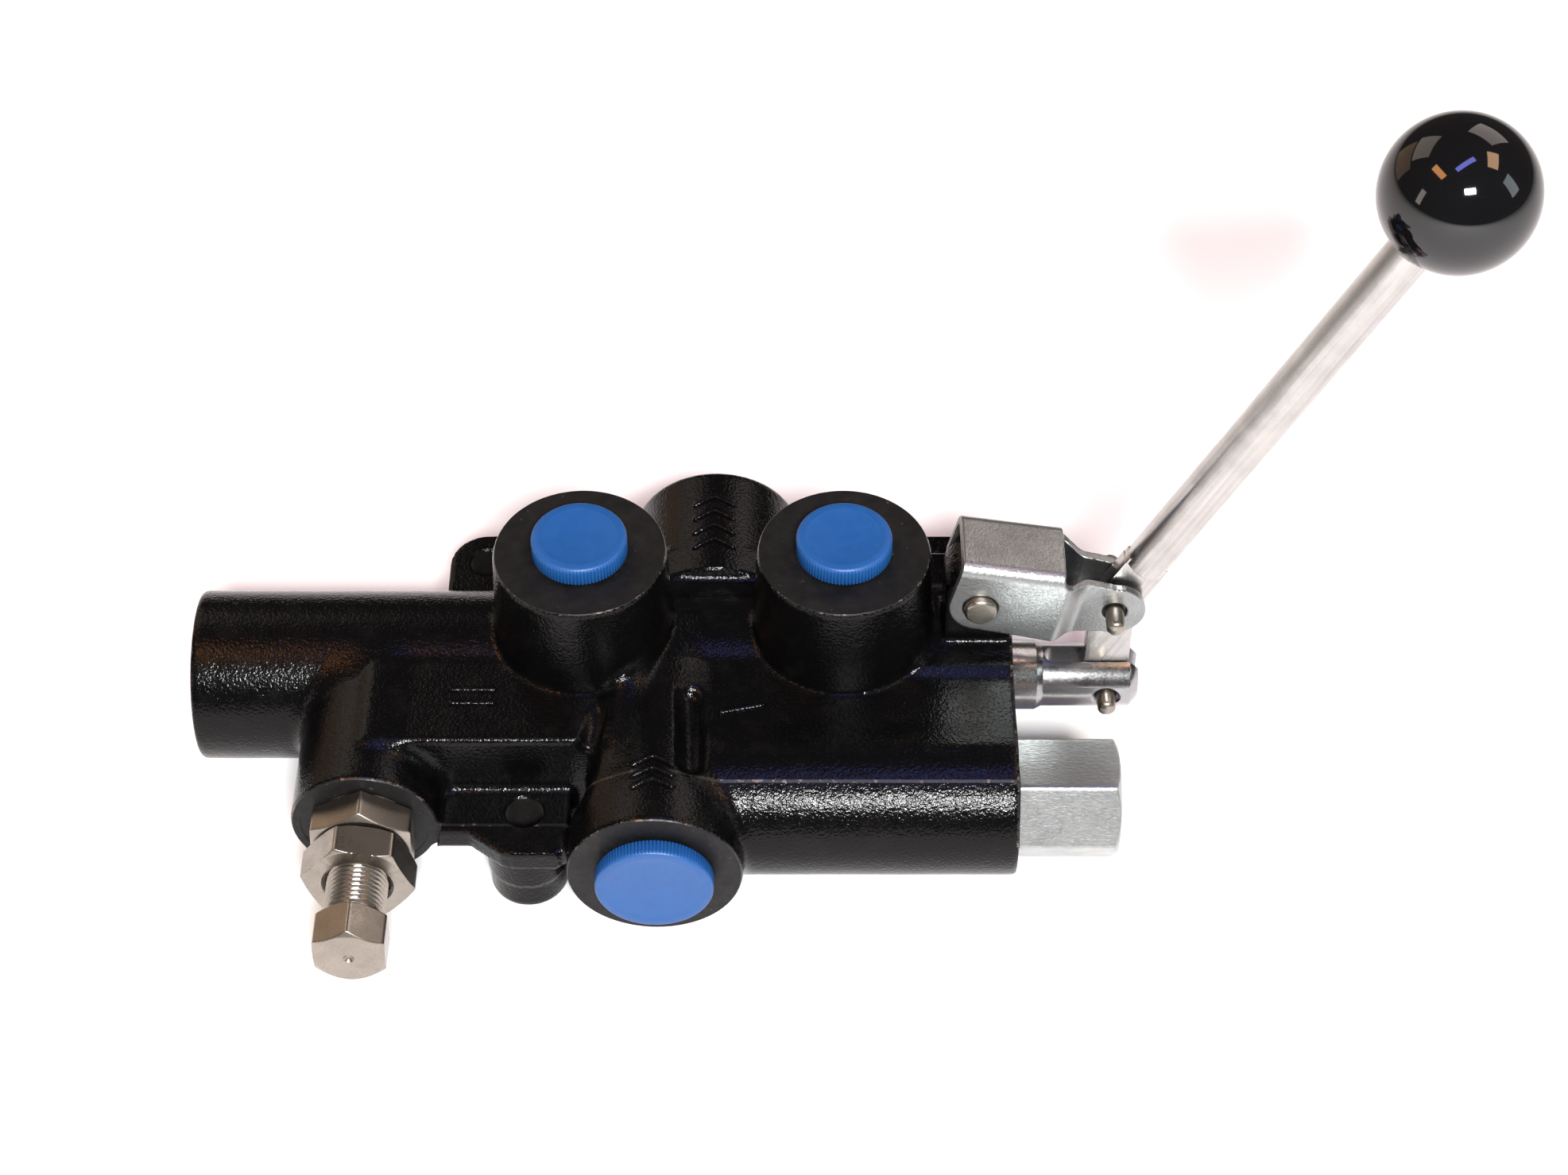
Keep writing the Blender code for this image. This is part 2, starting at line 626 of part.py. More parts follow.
def pin_mesh(radius, end, tip):
    """A round pin from -end to end. tip is its end profile: (radius, distance in from the end)."""
    first = [(r, inset - end) for r, inset in tip]
    return turned([(0, -end)] + first + [(r, -z) for r, z in reversed(first)] + [(0, end)], SMALL)


# ---------------------------------------------------------------- relief cartridge


def hexagonal(name, look, across_flats, bottom, top, phase, owner, at, facing, chamfers, add=(), cut=()):
    """A hexagon with its corners taken off where chamfers says, and turned shapes added and taken away."""
    blank = hexagon(across_flats, bottom - 1, top + 1, phase)
    made = piece(name, look, blank, owner, at, facing)
    corners = chamfered_ends(across_flats, bottom, top, *chamfers)
    boolean(made, "INTERSECT", [helper(corners, owner, at, facing)])
    if add:
        boolean(made, "UNION", [helper(mesh, owner, at, facing) for mesh in add])
    if cut:
        boolean(made, "DIFFERENCE", [helper(mesh, owner, at, facing) for mesh in cut])
    return made


def make_relief(datum):
    at = (RELIEF_X, 0, 0)
    facing = "-Y"
    shank_r = RELIEF_BORE_R - GAP
    thread_bore = RELIEF_THREAD_R + GAP
    under_head = RELIEF_FACE + GAP
    bore = cylinder(thread_bore, RELIEF_SHANK_END - 2, RELIEF_PLUG_END + 2)
    shank = cylinder(shank_r, RELIEF_SHANK_END, under_head + 1)
    hexagonal("relief_plug", "zinc", RELIEF_HEX_AF, under_head, RELIEF_PLUG_END, RELIEF_HEX_PHASE,
              datum, at, facing, (False, True), [shank], [bore])
    seal = oring(RELIEF_BORE_R, RELIEF_BORE_R + 1.9, RELIEF_FACE - 1.9, RELIEF_FACE - 0.2)
    piece("relief_oring", "rubber", seal, datum, at, facing)
    nut_bore = cylinder(thread_bore, RELIEF_NUT[0] - 2, RELIEF_NUT[1] + 2)
    hexagonal("relief_jam_nut", "zinc", RELIEF_HEX_AF, *RELIEF_NUT, RELIEF_NUT_PHASE,
              datum, at, facing, (True, True), (), [nut_bore])
    piece("relief_valve_seat", "steel", tube(shank_r, 3.5, *RELIEF_SEAT), datum, at, facing)

    turn = empty("relief_adjust_turn", at, datum)
    thread = cylinder(RELIEF_THREAD_R, RELIEF_POCKET[0], RELIEF_HEAD[0] + 1)
    pocket = cylinder(RELIEF_POCKET_R, RELIEF_POCKET[0] - 2, RELIEF_POCKET[1], SMALL)
    hexagonal("relief_adjusting_screw", "zinc", RELIEF_HEAD_AF, *RELIEF_HEAD, RELIEF_HEX_PHASE,
              turn, at, facing, (False, True), [thread], [pocket])

    follow = empty("relief_seat_slide", at, datum)
    low, high = RELIEF_SPRING
    seat = [(0, high - 2), (3.2, high - 2), (3.2, high + GAP), (6.1, high + GAP), (6.1, high + 3)]
    seat += [(3.0, high + 3), (3.0, RELIEF_POCKET[1] - GAP), (0, RELIEF_POCKET[1] - GAP)]
    piece("relief_spring_seat", "steel", turned(seat, SMALL), follow, at, facing)
    piece("relief_spring", "spring", coil(4.6, 0.8, low, high, 6), datum, at, facing)

    lift = empty("relief_poppet_lift", at, datum)
    nose = RELIEF_SEAT[1]
    cone = [(0, nose - 1.9), (2.8, nose + 0.2), (6.0, nose + 2.8)]
    stem = [(6.0, low - GAP), (3.2, low - GAP), (3.2, low + 3.7), (0, low + 3.7)]
    piece("relief_poppet", "steel", turned(cone + stem, SMALL), lift, at, facing)


# ---------------------------------------------------------------- check valve


def make_check(datum):
    at = (0, CHECK_Y, 0)
    shank = cylinder(CHECK_BORE_R - GAP, 45.0, HOUSING_RIGHT + GAP + 1)
    pocket = cylinder(7.5, 43.0, 80.0, SMALL)
    hexagonal("check_plug", "zinc", CHECK_PLUG_AF, HOUSING_RIGHT + GAP, CHECK_PLUG_END, 0.0,
              datum, at, "X", (False, True), [shank], [pocket])
    seal = oring(CHECK_BORE_R, CHECK_BORE_R + 1.7, HOUSING_RIGHT - 1.8, HOUSING_RIGHT - 0.2)
    piece("check_plug_seal", "rubber", seal, datum, at, "X")
    spring = coil(6.0, 0.9, 12.3, 79.5, 7)
    piece("check_spring", "spring", spring, datum, at, "X")
    lift = empty("check_poppet_lift", at, datum)
    poppet = [(0, -7.0), (5.0, -7.0), (9.5, -1.5), (9.5, 12.0), (4.3, 12.0), (4.3, 20.0), (0, 20.0)]
    piece("check_poppet", "steel", turned(poppet, SMALL), lift, at, "X")


# ---------------------------------------------------------------- linkage


def link_channel():
    """The U section, drawn in (Y, Z) and run along X past both ends of the bracket."""
    half, bend, top = LINK_HALF_WIDTH, LINK_BEND_R, LINK_WEB_TOP
    centre = (half - bend, top - bend)
    foot = -LINK_HEEL_R - 4.0
    outer = [(half, foot)] + arc(centre, bend, 0, 90, 4)
    inner = [(half - LINK_SHEET, foot)] + arc(centre, bend - LINK_SHEET, 0, 90, 3)
    outline = outer + [(-y, z) for y, z in reversed(outer)]
    outline += [(-y, z) for y, z in inner] + list(reversed(inner))
    return lofted([[(x, y, z) for y, z in outline] for x in (-15.0, LINK_LENGTH + 15.0)])


def link_side():
    """The outline of the flanges, drawn along the line from P1 to P2."""
    heel = arc((0, 0), LINK_HEEL_R, 178, 270, 6)
    eye = arc((LINK_LENGTH, 0), LINK_EYE_R, -100, 100, 10)
    neck = [(29.5, 9.2), (23.5, 9.8), (22.2, 10.4), (LINK_WEB[1], LINK_WEB_TOP - 3.0)]
    top = [(LINK_WEB[1], LINK_WEB_TOP + 2.0), (LINK_WEB[0], LINK_WEB_TOP + 2.0)]
    return prism(heel + [(22.0, -10.1)] + eye + neck + top, -20.0, 20.0)


def jogged(data):
    """Brings both flanges in by LINK_JOG_IN between the two ends of LINK_JOG."""
    mesh = bmesh.new()
    mesh.from_mesh(data)
    start, end = (edge * MM for edge in LINK_JOG)
    steps = 4
    for k in range(steps + 1):
        cut = start + (end - start) * k / steps
        everything = mesh.verts[:] + mesh.edges[:] + mesh.faces[:]
        bmesh.ops.bisect_plane(mesh, geom=everything, dist=1e-7, plane_co=(cut, 0, 0), plane_no=(1, 0, 0))
    for vert in mesh.verts:
        part = min(max((vert.co.x - start) / (end - start), 0.0), 1.0)
        shift = LINK_JOG_IN * MM * (1 - cos(pi * part)) / 2
        vert.co.y -= shift if vert.co.y > 0 else -shift
    mesh.to_mesh(data)
    mesh.free()
    return data


def make_link(datum):
    pivot = empty("link_pivot", P1, datum)
    link = piece("link_bracket", "zinc", link_channel(), pivot, P1)
    side = helper(link_side(), pivot, P1, "-Y")
    boolean(link, "INTERSECT", [side])
    heel_hole = cylinder(LINK_PIN_R + GAP, -20.0, 20.0, SMALL)
    eye_hole = cylinder(SMALL_PIN_R + 0.8, -20.0, 20.0, SMALL)
    along = (P1.x + LINK_LENGTH, 0, P1.z)
    boolean(link, "DIFFERENCE", [helper(heel_hole, pivot, P1, "Y"), helper(eye_hole, pivot, along, "Y")])
    link.data = jogged(baked(link))
    link.modifiers.clear()
    link.rotation_euler = (0, LINK_SLOPE, 0)
    pin = pin_mesh(LINK_PIN_R, LINK_PIN_END, [(LINK_PIN_R - 0.6, 0.0), (LINK_PIN_R, 0.6)])
    piece("link_pin", "zinc", pin, datum, P1, "Y")


# ---------------------------------------------------------------- lever and knob


def lever_path():
    """Points of the flat part's middle line with their lean from upright, from the toe to the shoulder."""
    tangent = LEVER_BEND_R * tan(ROD_TILT / 2)
    path = [(P2.x, LEVER_TOE + LEVER_HALF_WIDTH, 0.0)]
    steps = 5
    for k in range(steps + 1):
        lean = ROD_TILT * k / steps
        x = P2.x + LEVER_BEND_R * (1 - cos(lean))
        path.append((x, BEND.z - tangent + LEVER_BEND_R * sin(lean), lean))
    end = BEND + ROD_WAY * (LEVER_SHOULDER + 4.0)
    return path + [(end.x, end.z, ROD_TILT)]


def lever_plate():
    """The flat lower part, drawn in (X, Z)."""
    right, left = [], []
    path = lever_path()
    for x, z, lean in path:
        half = LEVER_HALF_WIDTH if (x, z, lean) != path[-1] else ROD_R - 0.4
        right.append((x + half * cos(lean), z - half * sin(lean)))
        left.append((x - half * cos(lean), z + half * sin(lean)))
    toe = arc((P2.x, LEVER_TOE + LEVER_HALF_WIDTH), LEVER_HALF_WIDTH, 180, 360, 8)
    outline = toe[1:-1] + right + list(reversed(left))
    return prism(outline, -LEVER_FLAT / 2, LEVER_FLAT / 2)


def pin_slot():
    """The long hole for the spool pin: it leaves room for the link's rise and fall."""
    upper = arc((P3.x, PIN_SLOT_RISE), PIN_SLOT_R, 0, 180, 8)
    lower = arc((P3.x, -PIN_SLOT_RISE), PIN_SLOT_R, 180, 360, 8)
    return prism(upper + lower, -LEVER_FLAT, LEVER_FLAT)


def make_lever(datum):
    pivot = empty("lever_pivot", P2, datum)
    lever = piece("lever", "zinc", lever_plate(), pivot, (0, 0, 0), "-Y")
    shoulder = ROD_LENGTH - KNOB_FLAT - GAP
    rod = [(0, LEVER_SHOULDER), (ROD_R, LEVER_SHOULDER), (ROD_R, shoulder), (ROD_THREAD_R, shoulder)]
    rod += [(ROD_THREAD_R, ROD_LENGTH - KNOB_BORE_END - GAP), (0, ROD_LENGTH - KNOB_BORE_END - GAP)]
    bar = helper(turned(rod), pivot, BEND)
    bar.rotation_euler = (0, ROD_TILT, 0)
    hole = cylinder(SMALL_PIN_R + GAP, -10.0, 10.0, SMALL)
    boolean(lever, "UNION", [bar])
    boolean(lever, "DIFFERENCE", [helper(hole, pivot, P2, "Y"), helper(pin_slot(), pivot, (0, 0, 0), "-Y")])
    dome = [(SMALL_PIN_R * 0.6, 0.25), (SMALL_PIN_R * 0.9, 0.8), (SMALL_PIN_R, 1.5)]
    piece("lever_pin", "zinc", pin_mesh(SMALL_PIN_R, SMALL_PIN_END, dome), pivot, P2, "Y")
    make_knob(pivot)


def make_knob(pivot):
    flat_r = (KNOB_R**2 - KNOB_FLAT**2) ** 0.5
    bore_r = ROD_THREAD_R + GAP
    bore = [(0, -KNOB_BORE_END), (bore_r, -KNOB_BORE_END), (bore_r, -KNOB_FLAT), (flat_r, -KNOB_FLAT)]
    start = -90 + atan2(flat_r, KNOB_FLAT) * 180 / pi
    ball = arc((0, 0), KNOB_R, start, 90, 14)[1:-1]
    knob = piece("knob", "knob", turned(bore + ball + [(0, KNOB_R)], 28), pivot, KNOB_CENTRE)
    knob.rotation_euler = (0, ROD_TILT, 0)


# ---------------------------------------------------------------- port plugs


def plug_mesh(head_r, height, skirt_r):
    """A push-in plug with its head over a port face at 0 and a hollow skirt down the bore."""
    edge = 0.5
    head = [(0, height), (head_r - edge, height), (head_r, height - edge), (head_r, GAP), (skirt_r, GAP)]
    inside = skirt_r - PLUG_WALL
    return turned(head + [(skirt_r, -PLUG_SKIRT), (inside, -PLUG_SKIRT), (inside, 3.0), (0, 3.0)])


def make_plugs(datum):
    ports = (
        ("a", (PORT_A_X, 0, WORK_FACE_Z), "Z", WORK_PLUG),
        ("b", (PORT_B_X, 0, WORK_FACE_Z), "Z", WORK_PLUG),
        ("in", (INLET_X, INLET_FACE_Y, 0), "-Y", MAIN_PLUG),
        ("out", (OUTLET_X, OUTLET_FACE_Y, 0), "Y", MAIN_PLUG),
    )
    for name, at, facing, sizes in ports:
        slide = empty(f"port_plug_{name}_slide", at, datum)
        piece(f"port_plug_{name}", "blue", plug_mesh(*sizes), slide, at, facing)


# ---------------------------------------------------------------- assembly


def clear_scene():
    for thing in list(bpy.data.objects):
        bpy.data.objects.remove(thing, do_unlink=True)


def main():
    clear_scene()
    datum = empty("valve_datum", (0, 0, 0))
    make_body(datum)
    make_end_cap(datum)
    make_seals(datum)
    make_spool(datum)
    make_relief(datum)
    make_check(datum)
    make_link(datum)
    make_lever(datum)
    make_plugs(datum)


main()
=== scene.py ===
import json
from math import atan2, cos, pi, radians, sin, tan

import bmesh
import bpy
import numpy as np
from mathutils import Matrix, Vector, noise


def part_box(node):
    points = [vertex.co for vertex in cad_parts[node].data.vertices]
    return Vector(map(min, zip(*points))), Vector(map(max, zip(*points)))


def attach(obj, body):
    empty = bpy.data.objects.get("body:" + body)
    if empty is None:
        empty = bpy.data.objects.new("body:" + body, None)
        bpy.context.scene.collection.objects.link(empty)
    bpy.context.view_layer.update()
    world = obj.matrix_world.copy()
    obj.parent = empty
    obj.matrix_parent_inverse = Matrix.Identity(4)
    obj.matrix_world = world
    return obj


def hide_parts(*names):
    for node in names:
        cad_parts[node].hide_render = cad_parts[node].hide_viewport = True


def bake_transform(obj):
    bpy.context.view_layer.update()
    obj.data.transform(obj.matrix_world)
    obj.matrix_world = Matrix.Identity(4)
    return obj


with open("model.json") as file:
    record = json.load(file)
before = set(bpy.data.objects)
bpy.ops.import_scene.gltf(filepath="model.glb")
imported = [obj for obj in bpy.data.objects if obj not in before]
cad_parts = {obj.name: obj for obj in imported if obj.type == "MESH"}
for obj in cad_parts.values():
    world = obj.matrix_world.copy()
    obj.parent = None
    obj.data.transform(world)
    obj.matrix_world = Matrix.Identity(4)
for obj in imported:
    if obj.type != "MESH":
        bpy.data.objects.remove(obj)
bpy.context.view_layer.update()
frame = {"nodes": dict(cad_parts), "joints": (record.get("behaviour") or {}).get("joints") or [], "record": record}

# Lengths are in millimetres in the design frame: X along the spool towards the lever, Y towards the outlet,
# Z up, and the spool axis at y = z = 0. Meshes are moved to the frame's metres as they are made.
MM = 0.001
JOINTS = {joint["name"]: joint for joint in frame["joints"]}
P1 = Vector((53.4, 0.0, 39.8))
ORIGIN = P1 - Vector(JOINTS["link_pivot"]["pos_m"]) / MM
P2 = Vector(JOINTS["lever_pivot"]["pos_m"]) / MM + ORIGIN
P3 = Vector((P2.x, 0.0, 0.0))
MOUNT_Z = ORIGIN.z
HOUSING_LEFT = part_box("valve_body")[0].x / MM + ORIGIN.x
HOUSING_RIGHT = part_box("valve_body")[1].x / MM + ORIGIN.x
HOUSING_R = 23.8
PLATE_TOP = 20.3

PORT_A_X = 16.3
PORT_B_X = -55.5
WORK_FACE_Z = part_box("valve_body")[1].z / MM + ORIGIN.z
WORK_TOP_R = 23.7
WORK_FOOT_R = 25.1
WORK_BORE_R = 10.5
WORK_DEPTH = 18.7
WORK_PASSAGE_R = 7.5
INLET_X = -34.7
INLET_FACE_Y = -71.4
INLET_R = 23.8
OUTLET_X = -19.6
OUTLET_FACE_Y = 57.0
OUTLET_FRONT_Y = 18.7
OUTLET_R = 24.0
MAIN_BORE_R = 13.2
MAIN_DEPTH = 21.0
MAIN_PASSAGE_R = 8.0
PORT_PITCH = 1.814
CHECK_Y = -45.0
CHECK_BOSS_R = 20.9
CHECK_BORE_R = 12.0
RELIEF_X = -114.0
RELIEF_BOSS_R = 20.0
RELIEF_FACE = 54.5
RELIEF_BORE_R = 11.0
BOLTS = ((-70.8, -49.8), (-86.7, 43.6), (48.0, 43.6))
BOLT_R = 5.15
EAR_THICKNESS = 7.1

FACINGS = {
    "Z": Matrix.Identity(3),
    "X": Matrix(((0, 0, 1), (1, 0, 0), (0, 1, 0))),
    "Y": Matrix(((-1, 0, 0), (0, 0, 1), (0, 1, 0))),
    "-Y": Matrix(((1, 0, 0), (0, 0, -1), (0, 1, 0))),
}


# ---------------------------------------------------------------- distance fields
# A field takes an (N, 3) array of points and gives about how far each one lies outside the shape.


def rounded(distances, radius):
    """The overlap of several shapes, its edges rounded by radius."""
    outside = np.sqrt(sum(np.maximum(d + radius, 0.0) ** 2 for d in distances))
    inside = np.minimum(np.maximum.reduce(distances) + radius, 0.0)
    return outside + inside - radius


def joined(first, second, radius):
    """Two shapes together, with a fillet of radius where they meet."""
    near = np.hypot(np.maximum(radius - first, 0.0), np.maximum(radius - second, 0.0))
    return np.maximum(radius, np.minimum(first, second)) - near


def scored(body, tool, radius):
    """A shape with a tool's shape taken out of it, the edges rounded by radius."""
    return -joined(-body, tool, radius)


def strut(p, start, end, radius):
    """A straight rod with round ends."""
    start, end = np.array(start), np.array(end)
    way = end - start
    part = np.clip((p - start) @ way / (way @ way), 0.0, 1.0)
    return np.linalg.norm(p - start - part[:, None] * way, axis=1) - radius


def bar(p, axis, centre, radius, low, high, edge=1.0):
    """A round bar along an axis. centre gives the other two coordinates, in order."""
    others = [k for k in range(3) if k != axis]
    across = np.hypot(p[:, others[0]] - centre[0], p[:, others[1]] - centre[1]) - radius
    return rounded([across, np.maximum(low - p[:, axis], p[:, axis] - high)], edge)


def polygon(x, y, outline):
    """Signed distance to a closed outline in the plane."""
    best = np.full(x.shape, 1e9, x.dtype)
    inside = np.zeros(x.shape, bool)
    for (ax, ay), (bx, by) in zip(outline, outline[1:] + outline[:1]):
        ex, ey = bx - ax, by - ay
        part = np.clip(((x - ax) * ex + (y - ay) * ey) / (ex * ex + ey * ey), 0.0, 1.0)
        best = np.minimum(best, (x - ax - part * ex) ** 2 + (y - ay - part * ey) ** 2)
        if ay != by:
            crosses = (ay > y) != (by > y)
            inside ^= crosses & (x < ax + (y - ay) * ex / ey)
    return np.where(inside, -1.0, 1.0) * np.sqrt(best)


def plate(p, outline, low, high, edge=1.0):
    """An outline in X and Y between two heights."""
    z = p[:, 2]
    return rounded([polygon(p[:, 0], p[:, 1], outline), np.maximum(low - z, z - high)], edge)


def block(p, low, high, edge=1.0):
    sides = [np.maximum(low[k] - p[:, k], p[:, k] - high[k]) for k in range(3)]
    return rounded(sides, edge)


def arc(centre, radius, start, end, steps):
    turns = [radians(start + (end - start) * k / steps) for k in range(steps + 1)]
    return [(centre[0] + radius * cos(turn), centre[1] + radius * sin(turn)) for turn in turns]


def surface(field, low, high, cell):
    """Points and quads of a field's zero surface: surface nets, then steps along the gradient onto it."""
    span = 6
    low = np.array(low, float) - cell
    blocks = np.ceil((np.array(high) + cell - low) / (cell * span)).astype(int)
    centres = np.stack(np.meshgrid(*[np.arange(n) for n in blocks], indexing="ij"), -1).reshape(-1, 3)
    coarse = field(low + (centres + 0.5) * cell * span)
    coarse_grid = np.where(coarse < 0, -9.0, 9.0).astype(np.float32).reshape(blocks)
    values = coarse_grid.repeat(span, 0).repeat(span, 1).repeat(span, 2)
    near = centres[np.abs(coarse) < cell * (0.87 * span + 1.5) * 1.25]
    local = np.stack(np.meshgrid(*[np.arange(span)] * 3, indexing="ij"), -1).reshape(-1, 3)
    for first in range(0, len(near), 4000):
        index = (near[first : first + 4000, None] * span + local).reshape(-1, 3)
        values[tuple(index.T)] = field(low + (index + 0.5) * cell)

    inside = values < 0
    corners = [(i, j, k) for i in (0, 1) for j in (0, 1) for k in (0, 1)]
    shape = np.array(values.shape) - 1
    count = np.zeros(shape, np.int8)
    for i, j, k in corners:
        count += inside[i : i + shape[0], j : j + shape[1], k : k + shape[2]]
    cells = np.argwhere((count > 0) & (count < 8))
    ids = np.full(shape, -1, np.int64)
    ids[tuple(cells.T)] = np.arange(len(cells))
    total = np.zeros((len(cells), 3))
    crossings = np.zeros(len(cells))
    for a in corners:
        for axis in range(3):
            if a[axis]:
                continue
            step = np.eye(3, dtype=int)[axis]
            start = values[tuple((cells + a).T)].astype(float)
            end = values[tuple((cells + a + step).T)].astype(float)
            crosses = (start < 0) != (end < 0)
            part = np.where(crosses, start / np.where(crosses, start - end, 1.0), 0.0)
            total += np.where(crosses[:, None], np.array(a) + part[:, None] * step, 0.0)
            crossings += crosses
    points = low + (cells + 0.5 + total / crossings[:, None]) * cell

    quads = []
    for axis in range(3):
        u, v = (axis + 1) % 3, (axis + 2) % 3
        step = np.eye(3, dtype=int)
        ahead = np.roll(inside, -1, axis)
        edges = np.argwhere(inside != ahead)
        keep = (edges > 0).all(1) & (edges < shape).all(1)
        edges = edges[keep]
        ring = [edges - step[u] - step[v], edges - step[v], edges, edges - step[u]]
        quad = np.stack([ids[tuple(c.T)] for c in ring], 1)
        quads.append(np.where(inside[tuple(edges.T)][:, None], quad, quad[:, ::-1]))
    quads = np.concatenate(quads)
    return settled(field, points, cell), quads


def gradient(field, points, step=0.02):
    rises = [field(points + step * axis) - field(points - step * axis) for axis in np.eye(3)]
    return np.stack(rises, 1) / (2 * step)


def settled(field, points, cell, rounds=3):
    for _ in range(rounds):
        slope = gradient(field, points)
        move = field(points)[:, None] * slope / np.maximum((slope**2).sum(1), 0.05)[:, None]
        length = np.linalg.norm(move, axis=1, keepdims=True)
        points = points - move * np.minimum(1.0, cell * 0.5 / np.maximum(length, 1e-9))
    return points


# ---------------------------------------------------------------- meshes


def placed(points, at=(0, 0, 0), facing="Z", turn=None):
    """Local points moved to a design place, with local Z along facing."""
    rotation = np.array(turn if turn is not None else FACINGS[facing])
    return np.asarray(points, float) @ rotation.T + np.array(at, float)


def mesh_object(name, points, faces, sharp=35):
    """An object from design points, in the frame's metres."""
    data = bpy.data.meshes.new(name)
    world = (np.asarray(points, float) - np.array(ORIGIN)) * MM
    if isinstance(faces, np.ndarray):
        data.vertices.add(len(world))
        data.vertices.foreach_set("co", world.astype(np.float32).ravel())
        data.loops.add(faces.size)
        data.loops.foreach_set("vertex_index", faces.astype(np.int32).ravel())
        data.polygons.add(len(faces))
        data.polygons.foreach_set("loop_start", np.arange(0, faces.size, faces.shape[1], dtype=np.int32))
        data.update(calc_edges=True)
    else:
        data.from_pydata([tuple(p) for p in world], [], faces)
    shaded(data, sharp)
    made = bpy.data.objects.new(name, data)
    bpy.context.scene.collection.objects.link(made)
    return made


def shaded(data, sharp=35):
    data.shade_smooth()
    data.set_sharp_from_angle(angle=radians(sharp))


def ring_faces(rings, closed):
    """Faces through rings of equal length, numbered in order, or of single points."""
    starts = np.cumsum([0] + [len(ring) for ring in rings])
    pairs = list(zip(range(len(rings)), range(1, len(rings))))
    if closed:
        pairs.append((len(rings) - 1, 0))
    faces = []
    for a, b in pairs:
        la, lb = len(rings[a]), len(rings[b])
        for k in range(max(la, lb)):
            n = (k + 1) % max(la, lb)
            face = [starts[a] + k % la, starts[a] + n % la, starts[b] + n % lb, starts[b] + k % lb]
            faces.append([int(i) for i in dict.fromkeys(face)])
    if not closed:
        for end, flip in ((0, True), (len(rings) - 1, False)):
            if len(rings[end]) > 2:
                cap = [int(starts[end] + k) for k in range(len(rings[end]))]
                faces.append(cap[::-1] if flip else cap)
    return faces


def turned(profile, segments=72, closed=False, phase=0.0):
    """Points and faces of a (radius, height) profile turned about Z."""
    rings = []
    for radius, height in profile:
        count = 1 if radius == 0 else segments
        turns = phase + np.arange(count) * 2 * pi / segments
        rings.append(np.stack([radius * np.cos(turns), radius * np.sin(turns), turns * 0 + height], 1))
    return np.concatenate(rings), ring_faces(rings, closed)


def prism(outline, low, high):
    rings = [np.array([(x, y, z) for x, y in outline], float) for z in (low, high)]
    return np.concatenate(rings), ring_faces(rings, False)


def outward(made):
    mesh = bmesh.new()
    mesh.from_mesh(made.data)
    bmesh.ops.recalc_face_normals(mesh, faces=mesh.faces[:])
    mesh.to_mesh(made.data)
    mesh.free()
    return made


def shape(name, points_faces, at=(0, 0, 0), facing="Z", turn=None, sharp=35):
    points, faces = points_faces
    return outward(mesh_object(name, placed(points, at, facing, turn), faces, sharp))


def carved(made, cutters, operation="DIFFERENCE", sharp=35):
    """Applies a Boolean for each cutter in turn and removes the cutters."""
    for cutter in cutters:
        modifier = made.modifiers.new("cut", "BOOLEAN")
        modifier.operation = operation
        modifier.solver = "MANIFOLD"
        modifier.object = cutter
    bpy.context.view_layer.update()
    graph = bpy.context.evaluated_depsgraph_get()
    data = bpy.data.meshes.new_from_object(made.evaluated_get(graph))
    made.modifiers.clear()
    made.data = data
    for cutter in cutters:
        bpy.data.objects.remove(cutter, do_unlink=True)
    shaded(data, sharp)
    return made


# ---------------------------------------------------------------- casting


def inlet_field(p):
    """A narrow rounded neck that flares to a round face."""
    x, y, z = p[:, 0] - INLET_X, p[:, 1], p[:, 2]
    stations = [-58.5, -55.0, -50.0, -45.0, 0.0]
    wide = np.interp(y, stations, [INLET_R, 22.2, 18.6, 17.0, 16.6])
    tall = np.interp(y, stations, [INLET_R, 23.6, 23.4, 23.2, 22.8])
    power = np.interp(y, stations, [2.0, 2.1, 2.3, 2.5, 2.5])
    ratio = (np.abs(x / wide) ** power + np.abs(z / tall) ** power) ** (1 / power)
    return rounded([(ratio - 1.0) * wide, np.maximum(INLET_FACE_Y - 3 - y, y - 2.0)], 1.0)


def outlet_field(p):
    across = np.hypot(p[:, 0] - OUTLET_X, p[:, 2])
    y = p[:, 1]
    return rounded([across - OUTLET_R, np.maximum(OUTLET_FRONT_Y - y, y - OUTLET_FACE_Y - 3)], 0.9)


def work_field(p, x):
    """A standing boss with draft."""
    rise = (WORK_FOOT_R - WORK_TOP_R) / (WORK_FACE_Z - PLATE_TOP)
    reach = WORK_FOOT_R - (p[:, 2] - PLATE_TOP) * rise
    across = np.hypot(p[:, 0] - x, p[:, 1]) - reach
    return rounded([across, np.maximum(-p[:, 2], p[:, 2] - WORK_FACE_Z - 3)], 0.5)


def rear_ear_outline(hole_x, side):
    radius, outer, inner = 11.2, 54.8, 34.5
    corner = arc((hole_x, outer - radius), radius, 0 if side > 0 else 180, 90, 8)
    end = hole_x + side * (radius - inner)
    return [(hole_x + side * radius, 5.0)] + corner + [(end, outer), (end, 5.0)]


FRONT_EAR = [(-97.0, -36.0), (-97.0, -56.6), (-85.5, -56.6), (-76.5, -63.6), (-73.0, -64.4)]
FRONT_EAR += [(-61.5, -64.4), (-58.4, -61.5), (-58.4, -36.0)]
BLOCK_OUTLINE = [(-114.0, -41.6), (-20.0, -41.6), (-16.0, -45.0), (70.0, -45.0), (70.0, 29.0)]
BLOCK_OUTLINE += [(PORT_B_X - WORK_FOOT_R, 29.0), (PORT_B_X - WORK_FOOT_R, 5.0), (-114.0, 5.0)]


